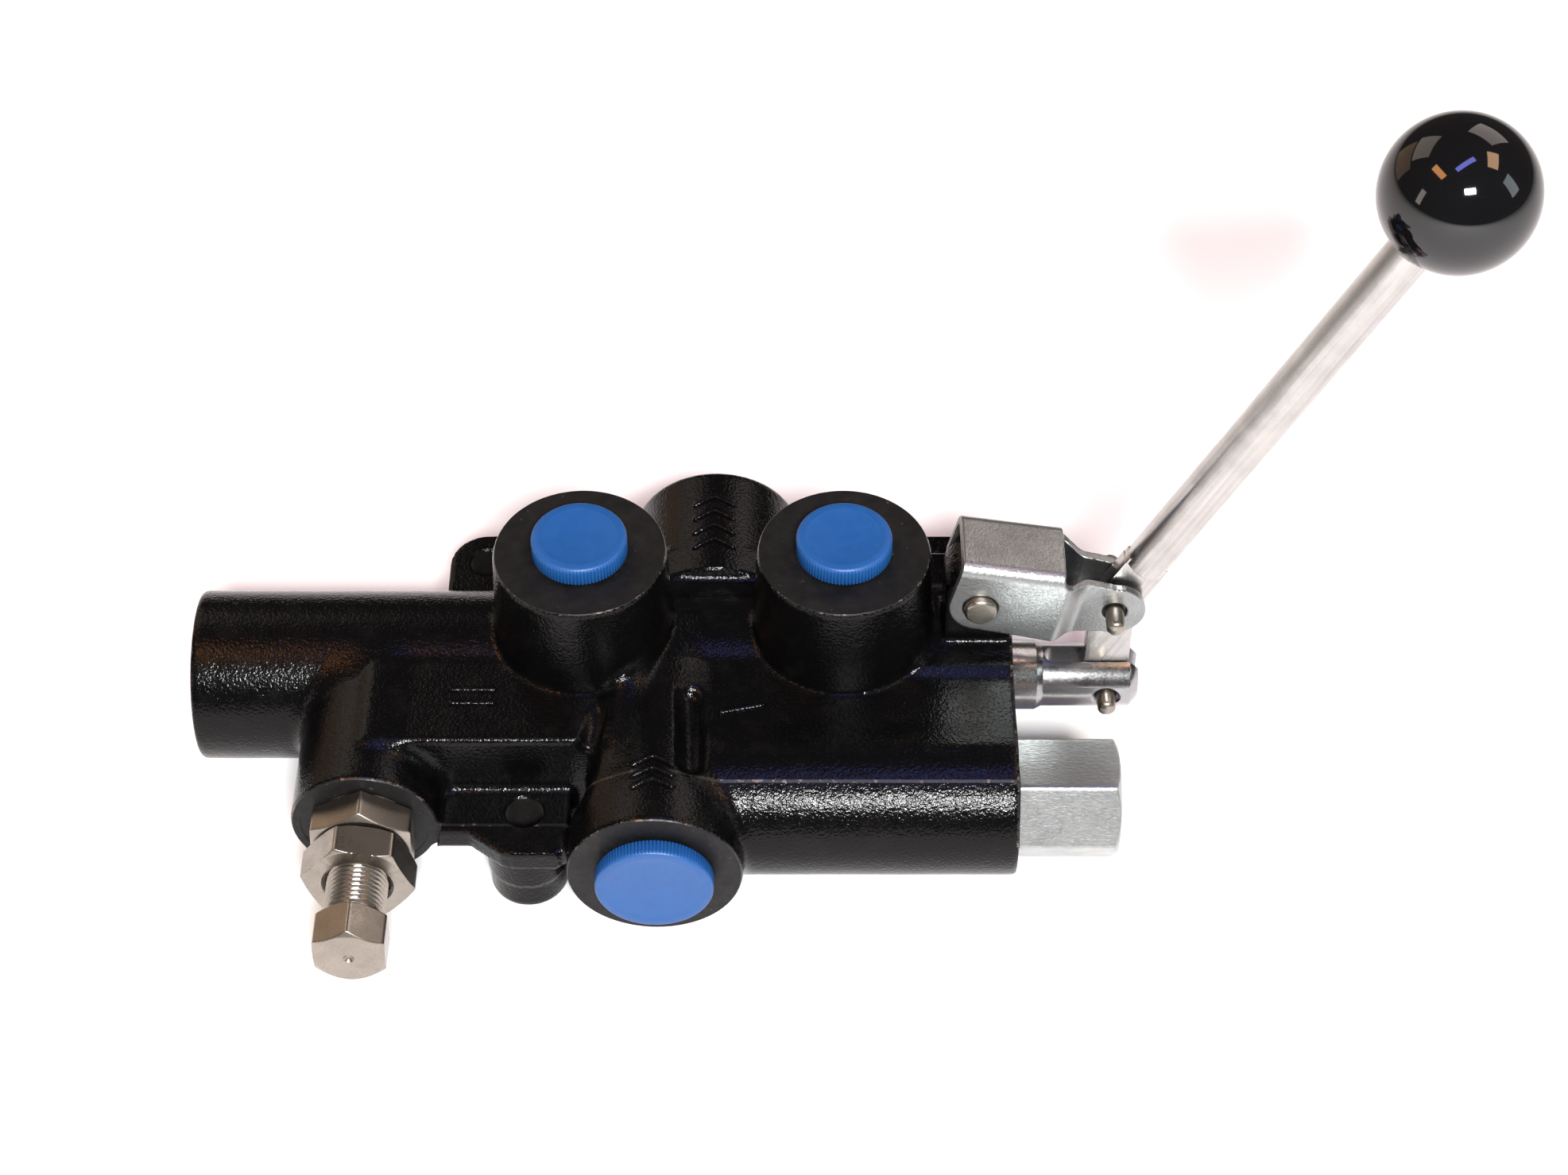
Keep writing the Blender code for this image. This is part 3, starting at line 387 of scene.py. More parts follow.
def lug_field(p):
    x, y, z = p.T
    upright = np.where(z < P1.z, np.abs(x - P1.x), np.hypot(x - P1.x, z - P1.z)) - 9.3
    return rounded([upright, np.abs(y) - 8.0, 15.0 - z], 0.8)


def lip(distance, width=1.3, drop=0.5):
    """How far the blank draws in just before a machined face. distance is the way left to that face."""
    return drop * np.clip(1.0 - distance / width, 0.0, 1.5) ** 2


def neck_details(p, body):
    """The ribs and hollows around the inlet neck and the foot of port A's boss."""
    top = PLATE_TOP
    knee = (-45.0, -30.0, top - 2.8)
    rib = strut(p, (-41.5, -15.0, top + 3.0), knee, 4.4)
    rib = joined(rib, strut(p, knee, (-48.0, -60.0, top - 8.0), 4.4), 2.0)
    body = joined(body, rib, 3.5)
    body = scored(body, strut(p, (-50.5, -32.0, top + 1.8), (-53.5, -48.0, top - 2.6), 2.6), 1.8)
    return scored(body, strut(p, (-25.4, -27.0, top + 2.0), (-24.4, -50.0, top + 1.8), 3.6), 1.6)


def casting_field(p):
    x, y, z = p.T
    right = lip(HOUSING_RIGHT - x)
    body = bar(p, 0, (0, 0), HOUSING_R, HOUSING_LEFT - 4, HOUSING_RIGHT + 4) + lip(x - HOUSING_LEFT)
    body = joined(body, plate(p, BLOCK_OUTLINE, -PLATE_TOP, PLATE_TOP, 1.6), 1.0)
    body = joined(body, bar(p, 0, (CHECK_Y, 0), CHECK_BOSS_R, -25.0, HOUSING_RIGHT + 4), 2.5)
    relief = bar(p, 1, (RELIEF_X, 0), RELIEF_BOSS_R, -RELIEF_FACE - 4, 0.0) + lip(y + RELIEF_FACE)
    body = joined(body, relief, 4.0)
    body = joined(body, inlet_field(p) + lip(y - INLET_FACE_Y), 3.5)
    body = joined(body, outlet_field(p) + lip(OUTLET_FACE_Y - y), 2.5)
    for port_x in (PORT_A_X, PORT_B_X):
        body = joined(body, work_field(p, port_x) + lip(WORK_FACE_Z - z), 0.9)
    body = neck_details(p, body)
    body = joined(body, plate(p, FRONT_EAR, -EAR_THICKNESS, 0.0, 1.0), 2.5)
    body = joined(body, plate(p, rear_ear_outline(BOLTS[1][0], -1), -EAR_THICKNESS, 0.0, 1.0), 2.0)
    body = joined(body, plate(p, rear_ear_outline(BOLTS[2][0], 1), -EAR_THICKNESS, 0.0, 1.0), 2.0)
    for hole_x, hole_y in BOLTS:
        foot = bar(p, 2, (hole_x, hole_y), 10.8, MOUNT_Z - 3, -4.0) + lip(z - MOUNT_Z)
        body = joined(body, joined(foot, bar(p, 2, (hole_x, hole_y), 11.3, -19.5, -4.0, 0.4), 0.3), 1.5)
    body = joined(body, block(p, (37.0, -15.6, 0.0), (HOUSING_RIGHT + 4, 12.7, 20.9), 0.6), 5.5)
    return joined(body, lug_field(p), 1.5) + right


def wavy(points, normals, waves, seed):
    """Moves points along their normals by a few smooth noises, each given as (length, height)."""
    shift = np.zeros(len(points))
    for length, height in waves:
        at = points / length + seed
        shift += height * np.array([noise.noise(Vector(p)) for p in at])
    return points + normals * shift[:, None]


def unit(vectors):
    return vectors / np.maximum(np.linalg.norm(vectors, axis=1, keepdims=True), 1e-9)


def thread_cutter(radius, depth, start, end, pitch, tail):
    """A cutter along Z for a threaded hole with crests at radius. tail ends it below start."""
    segments = 96
    steps = int(round((end - start) / pitch * 8))
    rings = []
    for inner, height in tail:
        turns = np.arange(1 if inner == 0 else segments) * 2 * pi / segments
        rings.append(np.stack([inner * np.cos(turns), inner * np.sin(turns), turns * 0 + height], 1))
    turns = np.arange(segments) * 2 * pi / segments
    for k in range(steps + 1):
        height = start + (end - start) * k / steps
        wave = (height / pitch - turns / (2 * pi)) % 1.0
        fade = min(1.0, k / 6, (steps - k) / 6 + 0.3)
        r = radius + depth * fade * np.clip(1.25 - 2.5 * np.abs(wave - 0.5) - 0.12, 0, 1)
        rings.append(np.stack([r * np.cos(turns), r * np.sin(turns), turns * 0 + height], 1))
    return rings, ring_faces(rings, False)


def port_cutter(radius, depth, passage_radius, reach, pitch):
    """A port along Z from its face at 0: passage, drill cone, thread and a countersunk mouth."""
    tail = [(passage_radius, -reach), (passage_radius, -depth - (radius - passage_radius) * 0.6)]
    tail += [(radius, -depth), (radius, 1.6 - depth)]
    rings, _ = thread_cutter(radius, 0.95, 2.0 - depth, -0.6, pitch, tail)
    turns = np.arange(96) * 2 * pi / 96
    for r, height in ((radius + 1.4, 0.0), (radius + 2.4, 1.0)):
        rings.append(np.stack([r * np.cos(turns), r * np.sin(turns), turns * 0 + height], 1))
    return np.concatenate(rings), ring_faces(rings, False)


def groove(start, end, inner, outer):
    return [(inner, start), (outer, start), (outer, end), (inner, end)]


def spool_bore():
    """The spring chamber, the spool bore with its galleries and seal grooves, and the chamfered mouth."""
    profile = [(17.8, HOUSING_LEFT - 1), (17.0, HOUSING_LEFT + 0.4)]
    profile += groove(-163.4, -161.5, 17.0, 18.0) + [(17.0, -126.0), (10.2, -126.0)]
    profile += groove(-122.6, -119.2, 10.2, 12.9)
    for centre, half in ((PORT_B_X, 4.5), (INLET_X, 5.0), (OUTLET_X, 4.5), (PORT_A_X, 4.5)):
        profile += groove(centre - half, centre + half, 10.2, 13.2)
    profile += groove(50.0, 53.4, 10.2, 12.9) + groove(57.4, 60.6, 10.2, 12.9)
    return turned(profile + [(10.2, HOUSING_RIGHT - 0.8), (12.6, HOUSING_RIGHT + 1.6)], 96)


def box_shape(low, high):
    outline = [(low[0], low[1]), (high[0], low[1]), (high[0], high[1]), (low[0], high[1])]
    return prism(outline, low[2], high[2])


def machining():
    """Cutters for the machined faces and then for the bores."""
    far = 200.0
    cuts = [
        box_shape((HOUSING_RIGHT, -far, -far), (far, far, far)),
        box_shape((-far, -far, -far), (HOUSING_LEFT, far, far)),
        box_shape((-far, -far, -far), (far, far, MOUNT_Z)),
        box_shape((-far, -far, WORK_FACE_Z), (far, far, far)),
        box_shape((-far, -far, -far), (far, INLET_FACE_Y, far)),
        box_shape((-far, OUTLET_FACE_Y, -far), (far, far, far)),
    ]
    made = [shape("cut", cut) for cut in cuts]
    relief_x = (RELIEF_X, 0, 0)
    made.append(shape("cut", turned([(20.6, RELIEF_FACE), (20.6, 70.0)], 96), relief_x, "-Y"))
    spot = [(17.4, RELIEF_FACE - 0.2), (17.8, 70.0)]
    made.append(shape("cut", turned(spot, 96), relief_x, "-Y"))
    made.append(shape("cut", spool_bore(), facing="X"))
    work = port_cutter(WORK_BORE_R, WORK_DEPTH, WORK_PASSAGE_R, WORK_FACE_Z, PORT_PITCH)
    for x in (PORT_A_X, PORT_B_X):
        made.append(shape("cut", work, (x, 0, WORK_FACE_Z)))
    inlet = port_cutter(MAIN_BORE_R, MAIN_DEPTH, MAIN_PASSAGE_R, -INLET_FACE_Y, PORT_PITCH)
    made.append(shape("cut", inlet, (INLET_X, INLET_FACE_Y, 0), "-Y"))
    outlet = port_cutter(MAIN_BORE_R, MAIN_DEPTH, MAIN_PASSAGE_R, OUTLET_FACE_Y, PORT_PITCH)
    made.append(shape("cut", outlet, (OUTLET_X, OUTLET_FACE_Y, 0), "Y"))
    relief = [(4.0, 0.0), (4.0, 30.0), (RELIEF_BORE_R, 30.0), (RELIEF_BORE_R, RELIEF_FACE - 2.2)]
    relief += [(13.2, RELIEF_FACE - 2.2), (13.2, RELIEF_FACE - 0.4), (14.4, RELIEF_FACE + 0.8)]
    made.append(shape("cut", turned(relief, 96), relief_x, "-Y"))
    check = [(7.0, INLET_X), (7.0, -8.0), (CHECK_BORE_R, -8.0), (CHECK_BORE_R, HOUSING_RIGHT - 2.1)]
    check += [(14.0, HOUSING_RIGHT - 2.1), (14.0, HOUSING_RIGHT - 0.3), (15.3, HOUSING_RIGHT + 1.0)]
    made.append(shape("cut", turned(check, 96), (0, CHECK_Y, 0), "X"))
    made.append(shape("cut", turned([(4.75, -20.0), (4.75, 20.0)], 64), P1, "Y"))
    for x, y in BOLTS:
        top = [(BOLT_R, -0.6), (BOLT_R + 2.6, 2.0)]
        bottom = [(BOLT_R + 2.6, MOUNT_Z - 2.0), (BOLT_R, MOUNT_Z + 0.6)]
        made.append(shape("cut", turned(bottom + top, 64), (x, y, 0)))
    return made


def make_casting(black):
    cell = 0.9
    low = (HOUSING_LEFT - 5, INLET_FACE_Y - 5, MOUNT_Z - 5)
    high = (HOUSING_RIGHT + 5, OUTLET_FACE_Y + 5, WORK_FACE_Z + 5)
    points, quads = surface(casting_field, low, high, cell)
    points = wavy(points, unit(gradient(casting_field, points)), ((18.0, 0.05), (5.0, 0.014)), 3.7)
    made = carved(mesh_object("casting", points, quads), machining())
    made.data.materials.clear()
    for material in (black, machined_paint(), bore_metal(), rim_wear_and_painted_highlight()):
        made.data.materials.append(material)
    centres = np.zeros(len(made.data.polygons) * 3)
    normals = centres.copy()
    made.data.polygons.foreach_get("center", centres)
    made.data.polygons.foreach_get("normal", normals)
    centres = centres.reshape(-1, 3) / MM + np.array(ORIGIN)
    normals = normals.reshape(-1, 3)
    planes = ((0, HOUSING_RIGHT), (0, HOUSING_LEFT), (1, INLET_FACE_Y), (1, OUTLET_FACE_Y))
    planes += ((1, -RELIEF_FACE), (1, 0.2 - RELIEF_FACE), (2, WORK_FACE_Z), (2, MOUNT_Z))
    flat = np.zeros(len(centres), bool)
    rim = flat.copy()
    for axis, level in planes:
        flat |= (np.abs(centres[:, axis] - level) < 0.02) & (np.abs(normals[:, axis]) > 0.99)
        rim |= np.abs(centres[:, axis] - level) < 0.35
    bored = (np.abs(casting_field(centres)) > 0.6) & ~flat
    # slot 3, on the faces along the machined edges, carries rubbed-through paint and a painted edge highlight
    slots = np.where(flat, 1, np.where(bored, 2, np.where(rim, 3, 0))).astype(np.int32)
    made.data.polygons.foreach_set("material_index", slots)
    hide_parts("valve_body")
    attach(made, "housing")


def stroke(x, y, line):
    """Distance in the plane to a line through several points."""
    best = np.full(x.shape, 1e9)
    for (ax, ay), (bx, by) in zip(line, line[1:]):
        ex, ey = bx - ax, by - ay
        part = np.clip(((x - ax) * ex + (y - ay) * ey) / (ex * ex + ey * ey), 0.0, 1.0)
        best = np.minimum(best, np.hypot(x - ax - part * ex, y - ay - part * ey))
    return best


def chevrons(x, y, width, rise, spacing, count):
    """Lines that point along +Y, one after another from y."""
    rows = [y + spacing * k for k in range(count)]
    return [[(x - width / 2, row), (x, row + rise), (x + width / 2, row)] for row in rows]


def make_marks(black):
    """Generic raised marks: chevrons along the flow, one bar for port A and two for port B."""
    radius = 0.95
    marks = {
        "inlet_chevrons": chevrons(-35.0, -60.0, 10.5, 2.6, 3.9, 3),
        "outlet_chevrons": chevrons(OUTLET_X - 0.4, 27.5, 11.0, 3.0, 5.6, 4),
        "port_a_bar": [[(-17.0, -31.5), (-6.0, -29.0)]],
        "port_b_bars": [[(-91.0, -23.4), (-79.5, -23.4)], [(-91.0, -28.2), (-79.5, -28.2)]],
    }
    for name, lines in marks.items():
        def ridges(p):
            nearest = np.minimum.reduce([stroke(p[:, 0], p[:, 1], line) for line in lines])
            return np.maximum(np.hypot(nearest, casting_field(p)) - radius, 12.0 - p[:, 2])

        points = np.array([point for line in lines for point in line])
        low, high = points.min(0) - 2, points.max(0) + 2
        made = mesh_object(name, *surface(ridges, (*low, 12.0), (*high, 26.0), 0.3))
        made.data.materials.append(black)
        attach(made, "housing")


# ---------------------------------------------------------------- turned and hexagonal pieces


def ringed(rows, segments, closed=False):
    """Points and faces through (height, radius) rows. A radius may be one number for each turn."""
    rings = []
    turns = np.arange(segments) * 2 * pi / segments
    for height, radius in rows:
        if np.ndim(radius) == 0 and radius == 0:
            rings.append(np.array([[0.0, 0.0, height]]))
            continue
        r = np.broadcast_to(radius, turns.shape)
        rings.append(np.stack([r * np.cos(turns), r * np.sin(turns), turns * 0 + height], 1))
    return np.concatenate(rings), ring_faces(rings, closed)


HEX_SEGMENTS = 240


def soft_min(a, b, width=0.25):
    mix = np.clip(0.5 + 0.5 * (b - a) / width, 0.0, 1.0)
    return b * (1 - mix) + a * mix - width * mix * (1 - mix)


def hexagon_radius(across_flats, phase):
    turns = np.arange(HEX_SEGMENTS) * 2 * pi / HEX_SEGMENTS
    off_flat = (turns - phase) % (pi / 3) - pi / 6
    corner = across_flats / 2 / cos(pi / 6)
    return soft_min(across_flats / 2 / np.cos(off_flat), np.full(HEX_SEGMENTS, corner - 0.12))


def hexagon_rows(across_flats, low, high, phase, chamfer_low, chamfer_high, land=0.97, slope=1.75):
    """Rows of a hexagon whose corners a cone takes off at either end."""
    flat = hexagon_radius(across_flats, phase)
    face = across_flats / 2 * land
    insets = [0.0, 0.08] + [0.2 + 0.14 * k for k in range(16)]
    rows = []
    for end, chamfered, sense in ((low, chamfer_low, 1), (high, chamfer_high, -1)):
        made = [(end, flat - 0.2), (end + sense * 0.2, flat)]
        if chamfered:
            made = [(end + sense * d, soft_min(flat, face - 0.15 + (0.15 if k else 0) + d * slope))
                    for k, d in enumerate(insets)]
        rows += made if sense == 1 else made[::-1]
    return rows


def thread_rows(radius, depth, low, high, pitch, segments=HEX_SEGMENTS):
    """Rows of an outside thread: crests at radius, roots at depth below, running out at both ends."""
    turns = np.arange(segments) / segments
    count = int(round((high - low) / pitch * 10))
    rows = []
    for k in range(count + 1):
        height = low + (high - low) * k / count
        wave = np.abs((height / pitch - turns) % 1.0 - 0.5) * 2
        fade = min(1.0, k / 8, (count - k) / 8)
        rows.append((height, radius - depth * fade * np.clip(1.3 * wave - 0.15, 0.0, 1.0)))
    return rows


def dressed(made, node, material, body):
    """Gives a piece its material and lets it stand for a CAD node on a body."""
    made.data.materials.clear()
    made.data.materials.append(material)
    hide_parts(node)
    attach(made, body)
    return made


def make_relief(zinc):
    at = (RELIEF_X, 0, 0)
    phase = radians(88)
    rows = [(36.0, 9.7), (37.0, 10.7), (52.0, 10.7), (52.2, 10.3), (54.2, 10.3), (54.4, 10.7), (54.8, 10.7)]
    rows += hexagon_rows(27.0, 54.8, 64.0, phase, False, True)
    rows += [(64.0, 9.5), (63.1, 8.6), (36.0, 8.6)]
    plug = shape("relief_hex_plug", ringed(rows, HEX_SEGMENTS, True), at, "-Y")
    dressed(plug, "relief_plug", zinc, "housing")
    rows = hexagon_rows(27.0, 65.5, 74.8, radians(49), True, True, 1.03, 2.0)
    rows += [(74.8, 9.7), (73.7, 8.6), (66.6, 8.6), (65.5, 9.7)]
    nut = shape("relief_nut", ringed(rows, HEX_SEGMENTS, True), at, "-Y")
    dressed(nut, "relief_jam_nut", zinc, "housing")
    rows = [(74.0, 0), (74.0, 6.3), (73.8, 6.5), (52.6, 6.5), (52.0, 7.0), (52.0, 7.5)]
    rows += thread_rows(8.3, 0.9, 53.0, 86.9, 1.5) + [(87.5, 8.1)]
    rows += hexagon_rows(19.0, 87.5, 99.0, phase, True, True, 0.95)
    rows += [(99.0, 1.5), (98.3, 0.9), (97.8, 0)]
    screw = shape("relief_screw", ringed(rows, HEX_SEGMENTS), at, "-Y")
    dressed(screw, "relief_adjusting_screw", zinc, "adjuster")


def make_check_plug(zinc):
    rows = [(80.0, 0), (80.0, 7.5), (45.0, 7.5), (45.0, 10.8), (46.0, 11.7), (60.6, 11.7), (60.8, 11.2)]
    rows += [(63.0, 11.2), (63.1, 11.7), (63.4, 11.7)]
    rows += hexagon_rows(30.0, 63.4, 91.0, 0.0, False, True, 0.98)
    rows += [(91.0, 0)]
    plug = shape("check_hex_plug", ringed(rows, HEX_SEGMENTS), (0, CHECK_Y, 0), "X")
    dressed(plug, "check_plug", zinc, "housing")


def capped(end, tip, segments=64):
    """A round pin from -end to end, with tip as its end profile: (radius, distance in from the end)."""
    first = [(inset - end, r) for r, inset in tip]
    return ringed([(-end, 0)] + first + [(-z, r) for z, r in reversed(first)] + [(end, 0)], segments)


def make_pins(zinc):
    flat_tip = [(3.6, 0.0), (3.85, 0.06), (4.38, 0.6), (4.45, 0.8)]
    pin = shape("link_pin_detail", capped(13.15, flat_tip), P1, "Y")
    dressed(pin, "link_pin", zinc, "housing")
    dome = [(2.55 * sin(radians(a)), 1.3 * (1 - cos(radians(a)))) for a in range(12, 91, 13)]
    for node, body, at in (("lever_pin", "hand_lever", P2), ("spool_pin", "spool_group", P3)):
        pin = shape(f"{node}_detail", capped(13.8, dome + [(2.6, 1.6)]), at, "Y")
        dressed(pin, node, zinc, body)


def make_spool(steel):
    profile = [(0, -117.0), (3.8, -117.0), (3.8, -133.0), (9.4, -133.0), (9.9, -132.3)]
    for start, end in ((-80.0, -66.0), (-49.0, -41.0), (-12.0, 4.0), (24.0, 38.0)):
        profile += [(9.9, start), (7.0, start + 1), (7.0, end - 1), (9.9, end)]
    profile += [(9.9, 70.9), (9.75, 71.15), (8.95, 72.65), (8.9, 72.9), (8.9, 97.2), (8.8, 97.5)]
    profile += [(6.5, 99.65), (6.3, 99.8), (0, 99.8)]
    made = shape("spool_detail", turned(profile, 96), (0, 0, 0), "X")
    half = 2.8
    slot = [(110.0, -half), (110.0, half)] + arc((73.3 + half, 0), half, 90, 270, 16)
    hole = [(5.3, -9.9), (2.9, -7.7), (2.9, 7.7), (5.3, 9.9)]
    cuts = [shape("cut", prism(slot, -14, 14)), shape("cut", turned(hole, 48), P3, "Y")]
    dressed(carved(made, cuts), "spool", steel, "spool_group")


def make_end_cap(steel):
    profile = [(0, -161.0), (9.0, -161.0), (9.4, -161.3), (16.3, -161.3), (16.7, -160.9), (16.7, -159.3)]
    profile += [(15.2, -159.3), (15.2, -157.1), (16.7, -157.1), (16.7, -155.4), (16.5, -155.2)]
    profile += [(13.9, -155.2), (13.9, -159.1), (0, -159.1)]
    cap = shape("end_cap_detail", turned(profile, 96), facing="X")
    dressed(cap, "end_cap", steel, "housing")
    ring = [(17.7, -163.0), (17.7, -161.9), (17.6, -161.8), (14.0, -161.8), (13.9, -161.9), (13.9, -163.0)]
    ring += [(14.0, -163.1), (17.6, -163.1)]
    snap = shape("retaining_ring_detail", turned(ring, 96, True), facing="X")
    gap = shape("cut", box_shape((-170.0, -2.4, -20.0), (-150.0, 2.4, -12.0)))
    dressed(carved(snap, [gap]), "end_cap_ring", steel, "housing")


# ---------------------------------------------------------------- linkage


LINK_LENGTH = (P2 - P1).length
LINK_SLOPE = atan2(P1.z - P2.z, P2.x - P1.x)
LINK_TURN = Matrix.Rotation(LINK_SLOPE, 3, "Y")
HEEL = arc((0, 0), 8.6, 178, 270, 14)
EYE = arc((LINK_LENGTH, 0), 8.5, -102, 100, 22)
NECK = [(31.0, 9.1), (26.5, 9.4), (23.6, 9.9), (22.0, 10.7), (20.9, 12.0)]
NECK += [(20.7, 13.5), (20.7, 16.7), (-7.5, 16.7)]
LINK_SIDE = HEEL + [(12.0, -9.3), (22.0, -10.1), (27.0, -9.9)] + EYE + NECK


def link_field(q):
    """The link in its own frame: X from pin to pin, Z up out of the web."""
    u, across, v = q.T
    jog = 4.5 * (1 - np.cos(pi * np.clip((u - 21.5) / 7.0, 0.0, 1.0))) / 2
    y = np.abs(across) + jog

    def channel(half, top, bend):
        qy, qv = y - (half - bend), v - (top - bend)
        return np.hypot(np.maximum(qy, 0), np.maximum(qv, 0)) + np.minimum(np.maximum(qy, qv), 0) - bend

    outline = polygon(u, v, LINK_SIDE)
    pin_hole = 4.75 - np.hypot(u, v)
    eye_hole = 3.4 - np.hypot(u - LINK_LENGTH, v)
    edges = np.maximum(np.maximum(outline, pin_hole), eye_hole)
    return rounded([channel(10.95, 14.7, 3.6), -channel(8.45, 12.2, 1.3), edges], 0.3)


def make_link(zinc):
    cell = 0.35
    points, quads = surface(link_field, (-10, -12, -12), (48, 12, 16), cell)
    made = mesh_object("link_plate", placed(points, P1, turn=LINK_TURN), quads, 60)
    dressed(made, "link_bracket", zinc, "link")


ROD_TILT = radians(26.47)
KNOB_CENTRE = Vector((163.2, 0.0, 176.4))
BEND = Vector((P2.x, 0, KNOB_CENTRE.z - (KNOB_CENTRE.x - P2.x) / tan(ROD_TILT)))
ROD_LENGTH = (KNOB_CENTRE - BEND).length
ROD_TURN = Matrix.Rotation(ROD_TILT, 3, "Y")
TOE_Z = -8.5
FLAT_HALF = 6.2
SHOULDER = 17.0
ROD_R = 6.0
KNOB_R = 20.0
KNOB_FLAT = 18.9


def lever_outline():
    """The flat part, drawn in X and Z: toe, bend and the neck under the rod."""
    radius = 12.0
    tangent = radius * tan(ROD_TILT / 2)
    narrow = FLAT_HALF - 0.2
    path = []
    for k in range(13):
        lean = ROD_TILT * k / 12
        x = P2.x + radius * (1 - cos(lean))
        z = BEND.z - tangent + radius * sin(lean)
        path.append((x, z, lean, FLAT_HALF))
    for reach, half in ((SHOULDER - 0.2, FLAT_HALF), (SHOULDER, narrow), (SHOULDER + 2.0, narrow)):
        x = BEND.x + reach * sin(ROD_TILT)
        z = BEND.z + reach * cos(ROD_TILT)
        path.append((x, z, ROD_TILT, half))
    toe = arc((P2.x, TOE_Z + FLAT_HALF), FLAT_HALF, 180, 360, 24)
    right = [(x + half * cos(lean), z - half * sin(lean)) for x, z, lean, half in path]
    left = [(x - half * cos(lean), z + half * sin(lean)) for x, z, lean, half in path]
    return toe[1:-1] + right + left[::-1]


def softened(made, width, sharp=35):
    """Bevels the sharp edges of a plain solid."""
    modifier = made.modifiers.new("edges", "BEVEL")
    modifier.width = width * MM
    modifier.segments = 2
    modifier.limit_method = "ANGLE"
    modifier.angle_limit = radians(40)
    return carved(made, [], sharp=sharp)


def make_lever(zinc, black):
    flat = softened(shape("lever_rod", prism(lever_outline(), -2.5, 2.5), (0, 0, 0), "-Y"), 0.35)
    end = ROD_LENGTH - KNOB_FLAT - 0.3
    tip = ROD_LENGTH - 4.3
    rod = [(0, SHOULDER - 0.2), (ROD_R - 0.4, SHOULDER - 0.2), (ROD_R, SHOULDER + 0.2)]
    rod += [(ROD_R, SHOULDER + 4 * k) for k in range(1, int((end - SHOULDER) / 4))]
    rod += [(ROD_R, end - 0.5), (ROD_R - 0.5, end), (4.8, end), (4.8, tip - 0.5), (4.3, tip), (0, tip)]
    bar_piece = shape("cut", turned(rod, 96), BEND, turn=ROD_TURN)
    lever = carved(flat, [bar_piece], "UNION")
    slot = arc((P3.x, 1.5), 4.35, 0, 180, 20) + arc((P3.x, -1.5), 4.35, 180, 360, 20)
    hole = shape("cut", turned([(2.9, -10), (2.9, 10)], 48), P2, "Y")
    cuts = [hole, shape("cut", prism(slot, -6, 6), facing="-Y")]
    dressed(carved(lever, cuts), "lever", zinc, "hand_lever")

    flat_r = (KNOB_R**2 - KNOB_FLAT**2) ** 0.5
    start = -90 + atan2(flat_r, KNOB_FLAT) * 180 / pi
    ball = arc((0, 0), KNOB_R, start + 1.2, 90, 60)
    profile = [(0, -4.0), (5.1, -4.0), (5.1, 0.3 - KNOB_FLAT), (5.4, -KNOB_FLAT)]
    profile += [(flat_r - 0.25, -KNOB_FLAT)] + ball[:-1] + [(0, KNOB_R)]
    knob = shape("knob_ball", turned(profile, 128), KNOB_CENTRE, turn=ROD_TURN)
    dressed(knob, "knob", black, "hand_lever")


# ---------------------------------------------------------------- port plugs


def make_plug(name, at, facing, head_r, height, skirt_r, ribs, blue):
    segments = ribs * 5
    turns = np.arange(segments) / segments * ribs
    rib = 0.3 * np.abs(np.sin(pi * turns)) ** 0.6
    inside = skirt_r - 1.5
    rows = [(height - 0.25, 0), (height - 0.25, head_r * 0.75), (height - 0.12, head_r * 0.8)]
    rows += [(height, head_r - 2.6), (height, head_r - 0.95)]
    rows += [(height - 0.15, head_r - 0.5), (height - 0.5, head_r - 0.24)]
    rows += [(height - 0.9, head_r - 0.31 + rib), (height - 1.4, head_r - 0.3 + rib)]
    rows += [(0.7, head_r - 0.3 + rib), (0.3, head_r - 0.6)]
    rows += [(0.3, skirt_r), (-1.0, skirt_r - 0.1), (-8.4, skirt_r - 0.1), (-9.0, skirt_r - 0.5)]
    rows += [(-9.0, inside + 0.2), (-8.7, inside), (2.6, inside), (3.0, inside - 0.4), (3.0, 0)]
    plug = shape(f"{name}_detail", ringed(rows, segments), at, facing, sharp=50)
    dressed(plug, name, blue, name.replace("port_", ""))


def make_plugs(blue):
    work = (13.1, 6.1, 10.2, 84)
    main = (16.0, 5.2, 12.9, 100)
    make_plug("port_plug_a", (PORT_A_X, 0, WORK_FACE_Z), "Z", *work, blue)
    make_plug("port_plug_b", (PORT_B_X, 0, WORK_FACE_Z), "Z", *work, blue)
    make_plug("port_plug_in", (INLET_X, INLET_FACE_Y, 0), "-Y", *main, blue)
    make_plug("port_plug_out", (OUTLET_X, OUTLET_FACE_Y, 0), "Y", *main, blue)


def wound(mean_radius, wire_radius, low, high, turns):
    """A wire wound about Z whose first and last turns lie close."""
    steps, sides = 36, 10
    turn = np.arange(int(turns * steps) + 1) / steps
    close = 0.8
    lead = 2 * wire_radius * close
    bottom, top = low + wire_radius, high - wire_radius
    heights = np.interp(turn, [0, close, turns - close, turns], [bottom, bottom + lead, top - lead, top])
    section = np.arange(sides) * 2 * pi / sides
    radii, rises = mean_radius + wire_radius * np.cos(section), wire_radius * np.sin(section)
    rings = []
    for angle, height in zip(turn * 2 * pi, heights):
        rings.append(np.stack([radii * cos(angle), radii * sin(angle), rises + height], 1))
    return np.concatenate(rings), ring_faces(rings, False)


def make_spring(node, wire, at, facing, spring):
    """A wound coil that stands in for a CAD spring node, its transform baked where it stands."""
    made = shape(f"{node}_coil", wire, at, facing, sharp=60)
    made.data.materials.clear()
    made.data.materials.append(spring)
    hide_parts(node)
    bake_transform(made)


